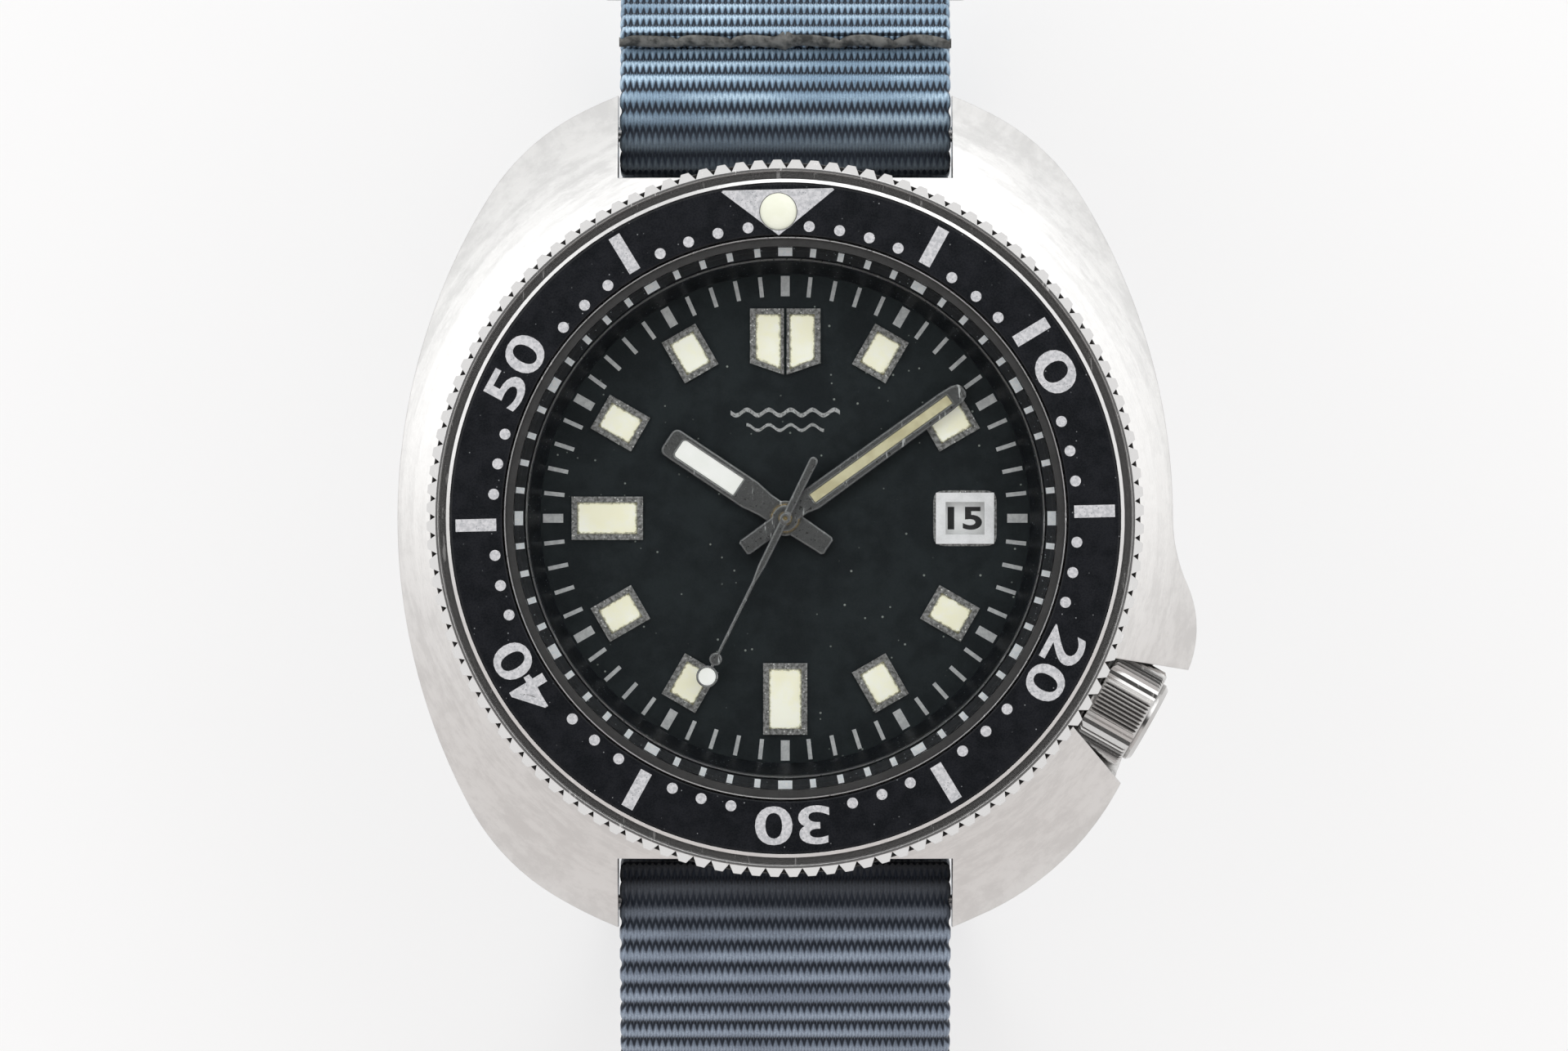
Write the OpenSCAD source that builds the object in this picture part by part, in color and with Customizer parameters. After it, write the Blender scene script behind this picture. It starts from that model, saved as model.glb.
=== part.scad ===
// Dive watch with a cushion case, a turning bezel, an automatic movement and a woven strap.
// +X points to three o'clock, +Y to twelve o'clock and +Z out of the dial.
// The origin is under the hands' axis, on the flat face that the closed strap stands on.
// Heights with names ending in _h are measured from the outer face of the case back.

/* [Case] */
// Radius of the arc that the lug ends follow
lug_end_r = 25.5; // [25.2:0.1:25.8]
// Shift of the case outline towards twelve o'clock
outline_shift = 0.4; // [0.2:0.1:0.5]
// Radius of each bowed flank
flank_r = 35.1; // [34.8:0.1:35.6]
// Offset of each flank's centre beyond the hands' axis
flank_offset = 13.1; // [12.9:0.1:13.3]
// Width between the lugs
lug_gap_w = 19; // [18.9:0.1:19.2]
// Distance from the axis to the floor of the gap between the lugs
lug_gap_start = 19.3; // [19:0.1:19.4]
// Height of the case middle at its upper land
case_top_h = 8.6; // [8.5:0.05:8.6]
// Height of the case middle's lower face
case_base_h = 0.9; // [0.8:0.05:0.9]
// Fall of the case top from the bezel to the lug ends
case_fall = 4.2; // [3.6:0.1:4.4]

/* [Bezel] */
// Outer radius of the bezel
bezel_r = 20.25; // [20:0.05:20.4]
// Height of the bezel's top edge
bezel_top_h = 12; // [11.9:0.05:12.1]
// Number of grip notches around the bezel
bezel_notches = 120; // [90:6:132]
// Depth of a grip notch
notch_depth = 0.5; // [0.4:0.02:0.54]
// Number of click positions
bezel_clicks = 60; // [60:60:120]
// Slight turn of the bezel from twelve o'clock, in degrees
bezel_rest_angle = 1.3; // [0:0.1:3]

/* [Dial and crystal] */
// Radius of the dial
dial_r = 14.2; // [14:0.1:14.2]
// Radius of the crystal
crystal_r = 15.35; // [15.3:0.05:15.35]
// Height of the crystal's crown above its edge
crystal_dome = 0.35; // [0.2:0.05:0.5]

/* [Hands] */
// Clock angle of the hour hand, in degrees
hour_angle = 303.7; // [0:0.1:360]
// Clock angle of the minute hand, in degrees
minute_angle = 54.1; // [0:0.1:360]
// Clock angle of the seconds hand, in degrees
seconds_angle = 206.3; // [0:0.1:360]
// Length of the hour hand
hour_len = 8.05; // [7.6:0.05:8.4]
// Length of the minute hand
minute_len = 12.5; // [12:0.1:12.9]
// Length of the seconds hand
seconds_len = 10.6; // [10:0.1:11]

/* [Crown] */
// Clock angle of the crown, in degrees
crown_clock = 119.5; // [119:0.5:120]
// Radius of the crown
crown_r = 3.05; // [2.9:0.05:3.1]
// Distance from the axis to the crown's inner face
crown_start = 20.3; // [20.2:0.05:20.4]
// Distance from the axis to the crown's outer face
crown_end = 23.8; // [23.5:0.1:24]

/* [Strap] */
// Width of the strap
strap_w = 18.6; // [18:0.1:18.7]
// Thickness of the strap
strap_t = 1.1; // [0.9:0.05:1.1]
// Radius of the shoulder beside the lugs at six o'clock
shoulder_r = 10.9; // [10:0.1:12]
// Radius of the long side of the loop at six o'clock
side_r = 40; // [36:1:46]
// Radius of the sharper bend over the bar at twelve o'clock
sharp_r = 4; // [3.8:0.1:4.4]
// Radius of the slope below that bend
slope_r = 25; // [24:1:28]
// Radius of the lower corner of the loop
corner_r = 17; // [15:0.5:18]

/* [Hidden] */
$fn = 96;
eps = 0.01;
clear = 0.3;
fit = 0.07;

// Heights of the layers, from the case back upwards
back_plate_h = 0.9;
rotor_h = 1.5;
bridge_h = 3;
bridge_top_h = 3.7;
plate_h = 5.2;
plate_top_h = 6;
dial_h = 6.55;
dial_top_h = 6.95;
hour_hand_h = 7.35;
minute_hand_h = 7.85;
seconds_hand_h = 8.4;
crystal_h = 9.4;
seat_h = 9.3;
bezel_base_h = 8.75;
neck_top_h = 10.9;
insert_seat_h = 11.5;

// Radii of the case's bores and of its neck
back_bore_r = 15;
cavity_r = 14.3;
chapter_bore_r = 15.55;
seat_r = 15.95;
neck_r = 16.9;
movement_r = 13.4;

// Strap route: turning angles at which each side's arcs end, from the bar down to the flat base
sharp_turn = 48;
shoulder_turn = 65;
side_turn = 110;
base_turn = 180;
route_step = 5;
layer_gap = strap_t + 0.35;
under_case_h = -clear - strap_t / 2;
bar_y = lug_gap_start + strap_t + 2 * clear + 0.9;
bar_h = 2.4;
bar_r = 0.9;
wrap_r = bar_r + clear + strap_t / 2;
loop_top_h = bar_h + wrap_r;
tail_end_turn = 52.5;
buckle_turn = 100;
upper_keeper_turn = 81;
lower_keeper_turn = 90;
strap_hole_w = 1.9;
bend_r = 1.2;

// Each side of the loop as [radii, end turns] of its arcs, with both lower corners at one height
six_side = [[shoulder_r, side_r, corner_r], [shoulder_turn, side_turn, base_turn]];
base_flat_h = arc_centre(six_side, 2)[1] - corner_r - layer_gap;
long_r = (base_flat_h + corner_r + layer_gap - loop_top_h + sharp_r - (sharp_r - slope_r) * cos(sharp_turn)
    - slope_r * cos(shoulder_turn) + corner_r * cos(side_turn)) / (cos(side_turn) - cos(shoulder_turn));
twelve_side = [[sharp_r, slope_r, long_r, corner_r], [sharp_turn, shoulder_turn, side_turn, base_turn]];
long_c = arc_centre(twelve_side, 2);
head_z = strap_t / 2 - base_flat_h;

// Gear train: modules, tooth counts and places
barrel_teeth = 72;
centre_pinion_teeth = 9;
barrel_module = 0.13;
centre_teeth = 64;
third_pinion_teeth = 8;
third_teeth = 60;
fourth_pinion_teeth = 8;
centre_module = 0.11;
third_module = centre_module * (centre_teeth + third_pinion_teeth) / (third_teeth + fourth_pinion_teeth);
fourth_teeth = 84;
escape_pinion_teeth = 7;
fourth_module = 0.085;
cannon_teeth = 12;
minute_wheel_teeth = 36;
motion_module = 0.12;
minute_pinion_teeth = 10;
hour_teeth = 40;
hour_module = motion_module * (cannon_teeth + minute_wheel_teeth) / (minute_pinion_teeth + hour_teeth);
barrel_angle = 75;
barrel_dist = barrel_module * (barrel_teeth + centre_pinion_teeth) / 2;
third_angle = 180;
third_dist = centre_module * (centre_teeth + third_pinion_teeth) / 2;
escape_angle = 260;
escape_dist = fourth_module * (fourth_teeth + escape_pinion_teeth) / 2;
motion_angle = 235;
motion_dist = motion_module * (cannon_teeth + minute_wheel_teeth) / 2;
barrel_at = barrel_dist * direction(barrel_angle);
third_at = third_dist * direction(third_angle);
escape_at = escape_dist * direction(escape_angle);
motion_at = motion_dist * direction(motion_angle);
fork_pivot_gap = 2.75;
fork_at = (escape_dist + fork_pivot_gap) * direction(escape_angle);
fork_len = 4;
pin_orbit_r = 1;
balance_at = fork_at + [-(fork_len + pin_orbit_r), 0];
balance_r = 3.4;

// Heights of the wheels inside the movement
fourth_wheel_h = 3.78;
third_wheel_h = 4;
centre_wheel_h = 4.24;
barrel_h = 4.48;
balance_rim_h = 4.35;
escape_wheel_h = 4.8;
motion_h = 6.06;
hour_wheel_h = 6.27;
wheel_t = 0.15;
arbor_r = 0.13;
pivot_hole_r = 0.2;
jewel_r = 0.5;
jewel_t = 0.19;
centre_tube_r = 0.36;
hour_tube_r = 0.8;

crown_angle = 90 - crown_clock;
crown_axis_h = 4.6;
stem_r = 0.6;
tube_r = 1.3;
crown_end_wall = 1;

function direction(a) = [cos(a), sin(a)];
// Outward normal of the strap at a turning angle, 0 on top of the loop and 180 under it
function outward(a) = [sin(a), cos(a)];
// Points of one arc of the strap's route
function route_arc(c, r, a0, a1) =
    let (n = max(1, ceil(abs(a1 - a0) / route_step)))
    [for (i = [0:n]) c + r * outward(a0 + (a1 - a0) * i / n)];
// Centre of one arc of a side, as [distance from the middle, height over the case back]
function arc_centre(side, i) = i == 0 ? [bar_y, loop_top_h - side[0][0]]
    : arc_centre(side, i - 1) + (side[0][i - 1] - side[0][i]) * outward(side[1][i - 1]);
function flip(points) = [for (i = [len(points) - 1:-1:0]) points[i]];
function mirrored(points) = [for (p = points) [-p[0], p[1]]];
function lowered(points, d) = [for (p = points) p - [0, d]];

// Outline of a gear with straight-sided teeth, one tooth pointing along +X
tooth_height = 0.62;
tooth_depth = 0.744;
tip_width = 0.4125;
root_width = 1.3;
function gear_points(teeth, module_mm) =
    let (r = teeth * module_mm / 2, half = 90 / teeth, root_r = r - module_mm * tooth_depth,
        tip_r = r + module_mm * tooth_height)
    [for (i = [0:teeth - 1]) let (turn = i * 4 * half) each [
        root_r * direction(turn - root_width * half),
        tip_r * direction(turn - tip_width * half),
        tip_r * direction(turn + tip_width * half),
        root_r * direction(turn + root_width * half)]];

module at_head() { translate([0, 0, head_z]) children(); }
module disc(r, h0, h1) { translate([0, 0, h0]) cylinder(r = r, h = h1 - h0); }
module ring(r_in, r_out, h0, h1) {
    difference() {
        disc(r_out, h0, h1);
        disc(r_in, h0 - eps, h1 + eps);
    }
}
module spun(profile) { rotate_extrude() polygon(profile); }
module at_polar(angle, r) { rotate(angle) translate([r, 0, 0]) children(); }
module at_clock(angle) { rotate(90 - angle) children(); }
module at_xy(p) { translate([p[0], p[1], 0]) children(); }
module on_crown_axis() { rotate(crown_angle) translate([0, 0, crown_axis_h]) rotate([0, 90, 0]) children(); }
module gear(teeth, module_mm, h0, t, phase) {
    translate([0, 0, h0]) rotate(phase) linear_extrude(t) polygon(gear_points(teeth, module_mm));
}
// A thin wheel with spokes cut out between its rim and its hub
module spoked(teeth, module_mm, h0, t, phase, spokes = 4) {
    pitch_r = teeth * module_mm / 2;
    difference() {
        gear(teeth, module_mm, h0, t, phase);
        difference() {
            ring(pitch_r * 0.25, pitch_r * 0.82, h0 - eps, h0 + t + eps);
            for (i = [0:spokes - 1])
                rotate(phase + i * 360 / spokes) translate([0, -pitch_r * 0.05, h0 - 2 * eps])
                    cube([pitch_r, pitch_r * 0.1, t + 4 * eps]);
        }
    }
}
// A box centred on X and Y
module slab(w, d, h0, h1) { translate([-w / 2, -d / 2, h0]) cube([w, d, h1 - h0]); }
// Flat strap outline, given as [distance, height] points, drawn across the strap's width
module across(width) { rotate([90, 0, 90]) linear_extrude(width, center = true) children(); }
// Places children on the long arc at a turning angle, d outside it, with +Z outward and +Y along it
module on_strap(turn, d = 0) {
    p = long_c + (long_r + d) * outward(turn);
    translate([0, p[0], p[1]]) rotate([-turn, 0, 0]) children();
}

// ---- case ----
module flank(s, h0, h1) { translate([s * flank_offset, 0, 0]) disc(flank_r, h0, h1); }
// The two swellings of the case on either side of the crown, open between them
module crown_guards(h0, h1) {
    difference() {
        union() {
            at_xy(guard_c) disc(guard_r, h0, h1);
            guard_blend(h0, h1);
            at_polar(-59, 9) disc(16.2, h0, h1);
        }
        crown_gap(h0 - 1, h1 + 1);
    }
}
guard_c = 18.4 * direction(-20);
guard_r = 6.1;
// The hollow curve from the right flank out to the upper guard
module guard_blend(h0, h1) {
    round_r = 9;
    inside = round_r + 1;
    flank_c = [-flank_offset, 0];
    c = circles_cross(flank_c, flank_r + round_r, guard_c, guard_r + round_r, 1);
    to_flank = (flank_c - c) / norm(flank_c - c);
    to_guard = (guard_c - c) / norm(guard_c - c);
    difference() {
        translate([0, 0, h0]) linear_extrude(h1 - h0)
            polygon([c, c + inside * to_flank, guard_c, c + inside * to_guard]);
        at_xy(c) disc(round_r, h0 - 1, h1 + 1);
    }
}
// The flared gap in which the crown sits
module crown_gap(h0, h1) {
    flare_w = 2.2;
    flare_len = 6;
    flare_rise = 2.2;
    rotate(crown_angle) translate([pocket_start, 0, h0]) linear_extrude(h1 - h0)
        polygon([[0, -flare_w], [0, flare_w], [flare_len, flare_w + flare_rise],
            [flare_len, -flare_w - flare_rise]]);
}
pocket_start = crown_start - 0.4;
function dome_h(r) = case_top_h - case_fall * pow(max(0, r - neck_r) / (lug_end_r + 0.1 - neck_r), 2);
// Where two circles cross, on the left (s = 1) or right (s = -1) of the line from the first to the second
function circles_cross(p1, r1, p2, r2, s) =
    let (d = norm(p2 - p1), u = (p2 - p1) / d, a = (r1 * r1 - r2 * r2 + d * d) / (2 * d))
    p1 + a * u + s * sqrt(r1 * r1 - a * a) * [-u[1], u[0]];
// What a rounded corner takes off the outline where the right flank meets an end
module corner_waste(s) {
    round_r = 13;
    end_c = [0, outline_shift];
    flank_c = [-flank_offset, 0];
    c = circles_cross(end_c, lug_end_r - round_r, flank_c, flank_r - round_r, -s);
    to_end = (c - end_c) / norm(c - end_c);
    to_flank = (c - flank_c) / norm(c - flank_c);
    difference() {
        translate([0, 0, -1]) linear_extrude(case_top_h + 2)
            polygon([c, c + (round_r + 3) * to_end, c + (round_r + 3) * to_flank]);
        at_xy(c) disc(round_r, -2, case_top_h + 2);
    }
}
module case_blank() {
    reach = lug_end_r + 1;
    top_points = [for (r = [neck_r:0.7:reach + 0.1]) [r, dome_h(r)]];
    lower_bevel = 3;
    intersection() {
        union() {
            difference() {
                intersection() {
                    translate([0, outline_shift, 0]) disc(lug_end_r, 0, case_top_h);
                    flank(-1, 0, case_top_h);
                    flank(1, 0, case_top_h);
                }
                for (side = [-1, 1]) for (s = [-1, 1]) scale([side, 1, 1]) corner_waste(s);
            }
            crown_guards(1.4, case_top_h - 0.2);
        }
        spun(concat([[0, case_base_h], [lug_end_r - lower_bevel, case_base_h], [reach, case_base_h + 1]],
            flip(top_points), [[0, case_top_h]]));
    }
    ring(seat_r - 1, neck_r, case_top_h - 1, neck_top_h);
}
module case_middle() {
    pocket_r = crown_r + 0.3;
    groove_h = 10.2;
    lug_hole_r = 0.5;
    lug_hole_depth = 1.6;
    color([0.85, 0.85, 0.84]) at_head() difference() {
        case_blank();
        disc(back_bore_r, 0, 2.4);
        disc(cavity_r, 2, dial_h);
        disc(dial_r + 0.05, dial_h - eps, dial_top_h + eps);
        disc(chapter_bore_r, dial_top_h, seat_h + eps);
        disc(seat_r, seat_h, neck_top_h + 1);
        ring(15.3, 15.9, 0, case_base_h + 0.4);
        ring(16.5, neck_r + 1, groove_h - 0.3, groove_h + 0.3);
        for (s = [-1, 1]) scale([1, s, 1]) translate([-lug_gap_w / 2, lug_gap_start, -1])
            cube([lug_gap_w, 10, 12]);
        for (s = [-1, 1]) translate([0, s * bar_y, bar_h]) rotate([0, 90, 0])
            cylinder(r = lug_hole_r, h = lug_gap_w + 2 * lug_hole_depth, center = true);
        on_crown_axis() translate([0, 0, pocket_start]) cylinder(r = pocket_r, h = 8);
        crown_gap(crown_axis_h, case_top_h + 1);
        on_crown_axis() translate([0, 0, 13]) cylinder(r = tube_r, h = 8);
        for (a = click_angles()) at_polar(a, click_ring_r) disc(0.5, 7, case_top_h + 1);
    }
}
function click_angles() = [90 + bezel_rest_angle, 270 + bezel_rest_angle];
click_ring_r = 18.2;

module case_back() {
    flange_r = 16.4;
    slots = 6;
    color([0.8, 0.8, 0.8]) at_head() difference() {
        union() {
            spun([[0, 0.1], [flange_r - 3.4, 0], [flange_r - 0.5, 0], [flange_r, 0.4],
                [flange_r, back_plate_h], [0, back_plate_h]]);
            ring(14, back_bore_r - 0.02, back_plate_h - eps, 2.3);
        }
        for (i = [0:slots - 1]) at_polar(i * 360 / slots, flange_r)
            translate([0, 0, -eps]) slab(2.6, 2.2, 0, 0.55);
    }
}
module case_back_gasket() { color([0.1, 0.1, 0.1]) at_head() ring(15.35, 15.85, back_plate_h, 1.25); }
module crown_tube() {
    color([0.75, 0.75, 0.75]) at_head() on_crown_axis() translate([0, 0, cavity_r + 0.15]) difference() {
        cylinder(r = tube_r, h = crown_end - 1.4 - cavity_r);
        translate([0, 0, -1]) cylinder(r = stem_r + fit, h = 12);
    }
}
module spring_bars() {
    pin_r = 0.44;
    for (s = [-1, 1]) color([0.6, 0.6, 0.6]) at_head() translate([0, s * bar_y, bar_h]) rotate([0, 90, 0]) {
        cylinder(r = bar_r, h = lug_gap_w - 0.6, center = true);
        cylinder(r = pin_r, h = lug_gap_w + 2.4, center = true);
        for (k = [-1, 1]) translate([0, 0, k * (lug_gap_w / 2 - 0.6)])
            cylinder(r = bar_r + 0.15, h = 0.3, center = true);
    }
}

// ---- bezel ----
module bezel_star(h0, h1) {
    pitch = 360 / bezel_notches;
    land = 0.2;
    translate([0, 0, h0]) linear_extrude(h1 - h0) polygon([for (i = [0:bezel_notches - 1]) each
        [(bezel_r + 0.02) * direction((i - land) * pitch), (bezel_r + 0.02) * direction((i + land) * pitch),
            (bezel_r - notch_depth) * direction((i + 0.5) * pitch)]]);
}
module bezel_ring() {
    inner_r = neck_r + 0.15;
    rim_r = 19.6;
    groove_r = 19.15;
    lip_r = 18.95;
    color([0.78, 0.78, 0.78]) at_head() rotate(bezel_rest_angle) intersection() {
        union() {
            bezel_star(bezel_base_h + 0.75, bezel_top_h + 1);
            disc(bezel_r - 0.15, bezel_base_h, bezel_base_h + 0.8);
        }
        spun([[inner_r, bezel_base_h], [17.5, bezel_base_h], [17.5, bezel_base_h + 0.45],
            [18.9, bezel_base_h + 0.45], [18.9, bezel_base_h], [bezel_r - 0.4, bezel_base_h],
            [bezel_r, bezel_base_h + 0.3], [bezel_r, bezel_top_h - 0.75], [rim_r + 0.15, bezel_top_h],
            [rim_r, bezel_top_h], [rim_r - 0.05, bezel_top_h - 0.4], [groove_r, bezel_top_h - 0.4],
            [groove_r, bezel_top_h - 0.05], [lip_r, bezel_top_h + 0.07], [lip_r, insert_seat_h],
            [seat_r + 0.02, insert_seat_h], [seat_r + 0.02, neck_top_h + 0.15],
            [inner_r, neck_top_h + 0.15]]);
    }
}
module bezel_insert() {
    pip_at = 17.3;
    color([0.07, 0.07, 0.08]) at_head() rotate(bezel_rest_angle) difference() {
        spun([[seat_r + 0.03, insert_seat_h], [18.93, insert_seat_h], [18.93, bezel_top_h - 0.03],
            [18.8, bezel_top_h], [seat_r + 0.1, bezel_top_h + 0.18], [seat_r + 0.03, bezel_top_h + 0.12]]);
        at_polar(90, pip_at) disc(1.06, insert_seat_h + 0.2, bezel_top_h + 1);
    }
}
module bezel_pip() {
    pip_r = 1.04;
    color([0.9, 0.92, 0.8]) at_head() rotate(bezel_rest_angle) at_polar(90, 17.3) intersection() {
        disc(pip_r, insert_seat_h + 0.2, bezel_top_h + 0.3);
        translate([0, 0, bezel_top_h - 2.35]) sphere(r = 2.6);
    }
}
module click_ring() {
    hole_r = 0.36;
    color([0.7, 0.7, 0.7]) at_head() rotate(bezel_rest_angle) difference() {
        ring(17.55, 18.85, bezel_base_h, bezel_base_h + 0.4);
        for (i = [0:bezel_clicks - 1]) at_polar(i * 360 / bezel_clicks, click_ring_r)
            disc(hole_r, bezel_base_h - 1, bezel_base_h + 1);
    }
}
module bezel_gasket() {
    section_r = 0.25;
    color([0.08, 0.08, 0.08]) at_head() translate([0, 0, 10.2]) rotate_extrude()
        translate([neck_r - 0.12, 0]) circle(r = section_r, $fn = 24);
}
module click_balls() {
    color([0.8, 0.8, 0.8]) at_head() for (a = click_angles()) at_polar(a, click_ring_r)
        translate([0, 0, bezel_base_h - 0.3]) sphere(r = 0.45, $fn = 32);
}
module click_springs() {
    coils = 4;
    pitch = 0.26;
    color([0.6, 0.6, 0.6]) at_head() for (a = click_angles()) at_polar(a, click_ring_r)
        for (i = [0:coils - 1]) translate([0, 0, 7.1 + i * pitch]) ring(0.22, 0.42, 0, pitch * 0.98);
}

// ---- crystal, chapter ring and dial ----
module crystal() {
    top_h = bezel_top_h + 0.1;
    top_r = crystal_r - 0.3;
    steps = 12;
    color([0.9, 0.95, 0.97, 0.3]) at_head() spun(concat(
        [[0, crystal_h], [crystal_r, crystal_h], [crystal_r, top_h - 0.35]],
        [for (i = [0:steps]) [top_r * (1 - i / steps), top_h + crystal_dome * (1 - pow(1 - i / steps, 2))]]));
}
module crystal_gasket() {
    lip_h = 11.75;
    color([0.1, 0.1, 0.1]) at_head() spun([[crystal_r, seat_h], [15.6, seat_h], [15.6, lip_h], [15.76, lip_h],
        [15.76, lip_h + 0.15], [crystal_r, lip_h + 0.15]]);
}
module crystal_ring() {
    crest_h = bezel_top_h + 0.08;
    color([0.8, 0.8, 0.8]) at_head() spun([[15.61, seat_h], [15.9, seat_h], [15.9, crest_h - 0.1],
        [15.86, crest_h], [15.81, crest_h], [15.77, crest_h - 0.06], [15.77, 11.74], [15.61, 11.74]]);
}
module chapter_ring() {
    step_r = 14.55;
    bright_r = 14.8;
    color([0.08, 0.08, 0.09]) at_head() spun([[13.9, dial_top_h], [15.5, dial_top_h], [15.5, 9.2],
        [bright_r, 9.05], [bright_r, 8.95], [step_r, 8.85], [13.9, dial_top_h + 0.25]]);
}
date_at = 10.2;
date_w = 2.2;
date_d = 1.85;
module dial() {
    color([0.05, 0.06, 0.06]) at_head() difference() {
        disc(dial_r, dial_h, dial_top_h);
        disc(0.95, 0, 10);
        translate([date_at, 0, 0]) slab(date_w, date_d, 0, 10);
    }
}
// Radial span of the applied markers
marker_mid_r = 10.8;
frame_wall = 0.32;
marker_top_h = dial_top_h + 0.22;
function plain_hours() = [for (i = [1:11]) if (i != 3 && i != 6 && i != 9) i];
module marker_shape(shrink, h0, h1) {
    for (i = plain_hours()) at_clock(i * 30) translate([marker_mid_r, 0, 0])
        slab(2.65 - 2 * shrink, 2.2 - 2 * shrink, h0, h1);
    at_clock(180) translate([10.25, 0, 0]) slab(4.05 - 2 * shrink, 2.5 - 2 * shrink, h0, h1);
    at_clock(270) translate([10.1, 0, 0]) slab(4.05 - 2 * shrink, 2.45 - 2 * shrink, h0, h1);
    for (s = [-1, 1]) translate([0, 0, h0]) linear_extrude(h1 - h0)
        polygon([[s * (0.08 + shrink / 2), 11.9 - shrink], [s * (2 - shrink), 11.9 - shrink],
            [s * (2 - shrink), 8.8 + shrink * 0.7], [s * (0.08 + shrink / 2), 8.15 + shrink * 0.9]]);
}
module marker_frames() {
    color([0.45, 0.43, 0.38]) at_head() difference() {
        marker_shape(0, dial_top_h, marker_top_h);
        marker_shape(frame_wall, dial_top_h + 0.05, marker_top_h + 1);
    }
}
module marker_lume() {
    color([0.92, 0.92, 0.75]) at_head()
        marker_shape(frame_wall + 0.01, dial_top_h + 0.06, marker_top_h + 0.05);
}
module date_frame() {
    color([0.9, 0.9, 0.88]) at_head() translate([date_at, 0, 0]) difference() {
        slab(3.3, 2.9, dial_top_h, dial_top_h + 0.2);
        slab(date_w, date_d, dial_top_h - 1, dial_top_h + 1);
    }
}

// ---- hands ----
// A flat hand along +X from points on one edge, mirrored to the other
module hand_plate(edge, h0, t) {
    translate([0, 0, h0]) linear_extrude(t)
        polygon(concat(edge, flip([for (p = edge) [p[0], -p[1]]])));
}
// End of a hand at x, of half-width w, with corners of radius r
function round_tip(x, w, r) = [for (i = [0:6]) [x - r + r * sin(i * 15), w - r + r * cos(i * 15)]];
hour_root = [[-2.95, 0.45], [-2.8, 0.58], [1.4, 0.7], [2.4, 0.85]];
lume_start = 3.2;
lume_end = 7.25;
module hour_hand() {
    color([0.8, 0.8, 0.8]) at_head() at_clock(hour_angle) difference() {
        union() {
            hand_plate(concat(hour_root, round_tip(hour_len, 0.85, 0.4)), hour_hand_h, 0.2);
            disc(1, hour_hand_h, hour_hand_h + 0.2);
        }
        disc(hour_tube_r, 0, 10);
        hand_plate(concat([[lume_start, 0.55]], round_tip(lume_end, 0.55, 0.2)), hour_hand_h + 0.08, 1);
    }
}
module hour_lume() {
    color([0.92, 0.93, 0.85]) at_head() at_clock(hour_angle)
        hand_plate(concat([[lume_start, 0.54]], round_tip(lume_end - 0.01, 0.54, 0.2)),
            hour_hand_h + 0.08, 0.17);
}
module minute_hand() {
    color([0.8, 0.8, 0.8]) at_head() at_clock(minute_angle) difference() {
        union() {
            hand_plate([[-2.95, 0.38], [-2.8, 0.48], [1.2, 0.5], [1.9, 0.68], [11.2, 0.62],
                [minute_len - 0.5, 0.56], [minute_len - 0.15, 0.42], [minute_len, 0.2]], minute_hand_h, 0.2);
            disc(0.75, minute_hand_h, minute_hand_h + 0.2);
        }
        disc(centre_tube_r, 0, 10);
        hand_plate([[1.9, 0.28], [11.5, 0.28]], minute_hand_h + 0.08, 1);
    }
}
module minute_lume() {
    color([0.88, 0.86, 0.55]) at_head() at_clock(minute_angle)
        hand_plate([[1.91, 0.27], [11.49, 0.27]], minute_hand_h + 0.08, 0.17);
}
module seconds_hand() {
    lume_at = 10;
    tail_at = -3.6;
    color([0.75, 0.75, 0.75]) at_head() at_clock(seconds_angle) difference() {
        union() {
            hand_plate([[tail_at, 0.25], [3, 0.2], [4, 0.1], [seconds_len, 0.08]], seconds_hand_h, 0.14);
            translate([tail_at, 0, 0]) disc(0.25, seconds_hand_h, seconds_hand_h + 0.14);
            translate([lume_at, 0, 0]) disc(0.62, seconds_hand_h, seconds_hand_h + 0.14);
            translate([8.9, 0, 0]) disc(0.36, seconds_hand_h, seconds_hand_h + 0.14);
            disc(0.32, seconds_hand_h - 0.1, seconds_hand_h + 0.24);
        }
        disc(arbor_r, 0, 10);
        translate([lume_at, 0, 0]) disc(0.5, seconds_hand_h + 0.05, 10);
    }
}
module seconds_lume() {
    color([0.92, 0.92, 0.75]) at_head() at_clock(seconds_angle) translate([10, 0, 0])
        disc(0.49, seconds_hand_h + 0.05, seconds_hand_h + 0.17);
}

// ---- movement ----
module stem_slot(half_w, h0, h1) {
    rotate(crown_angle) translate([6.8, -half_w, h0]) cube([12, 2 * half_w, h1 - h0]);
}
module movement_holder() {
    color([0.9, 0.9, 0.9]) at_head() difference() {
        ring(movement_r + 0.03, cavity_r - 0.03, bridge_h, dial_h - 0.05);
        stem_slot(stem_r + 0.15, 0, 10);
    }
}
module main_plate() {
    color([0.75, 0.72, 0.62]) at_head() difference() {
        union() {
            disc(movement_r, plate_h, plate_top_h);
            ring(12.6, movement_r, bridge_top_h, plate_h + eps);
            ring(12.3, movement_r, plate_top_h - eps, dial_h - 0.05);
        }
        disc(centre_tube_r + fit, 0, 10);
        at_xy(barrel_at) disc(pivot_hole_r, 0, plate_top_h - 0.2);
        for (p = jewel_places()) at_xy(p) {
            disc(pivot_hole_r, 0, plate_top_h - jewel_t);
            disc(jewel_r, plate_top_h - jewel_t, plate_top_h + 1);
        }
        stem_slot(1, bridge_h, plate_h + 0.4);
    }
    color([0.75, 0.72, 0.62]) at_head() at_xy(motion_at) disc(0.25, plate_top_h - eps, hour_wheel_h + 0.15);
}
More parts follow.
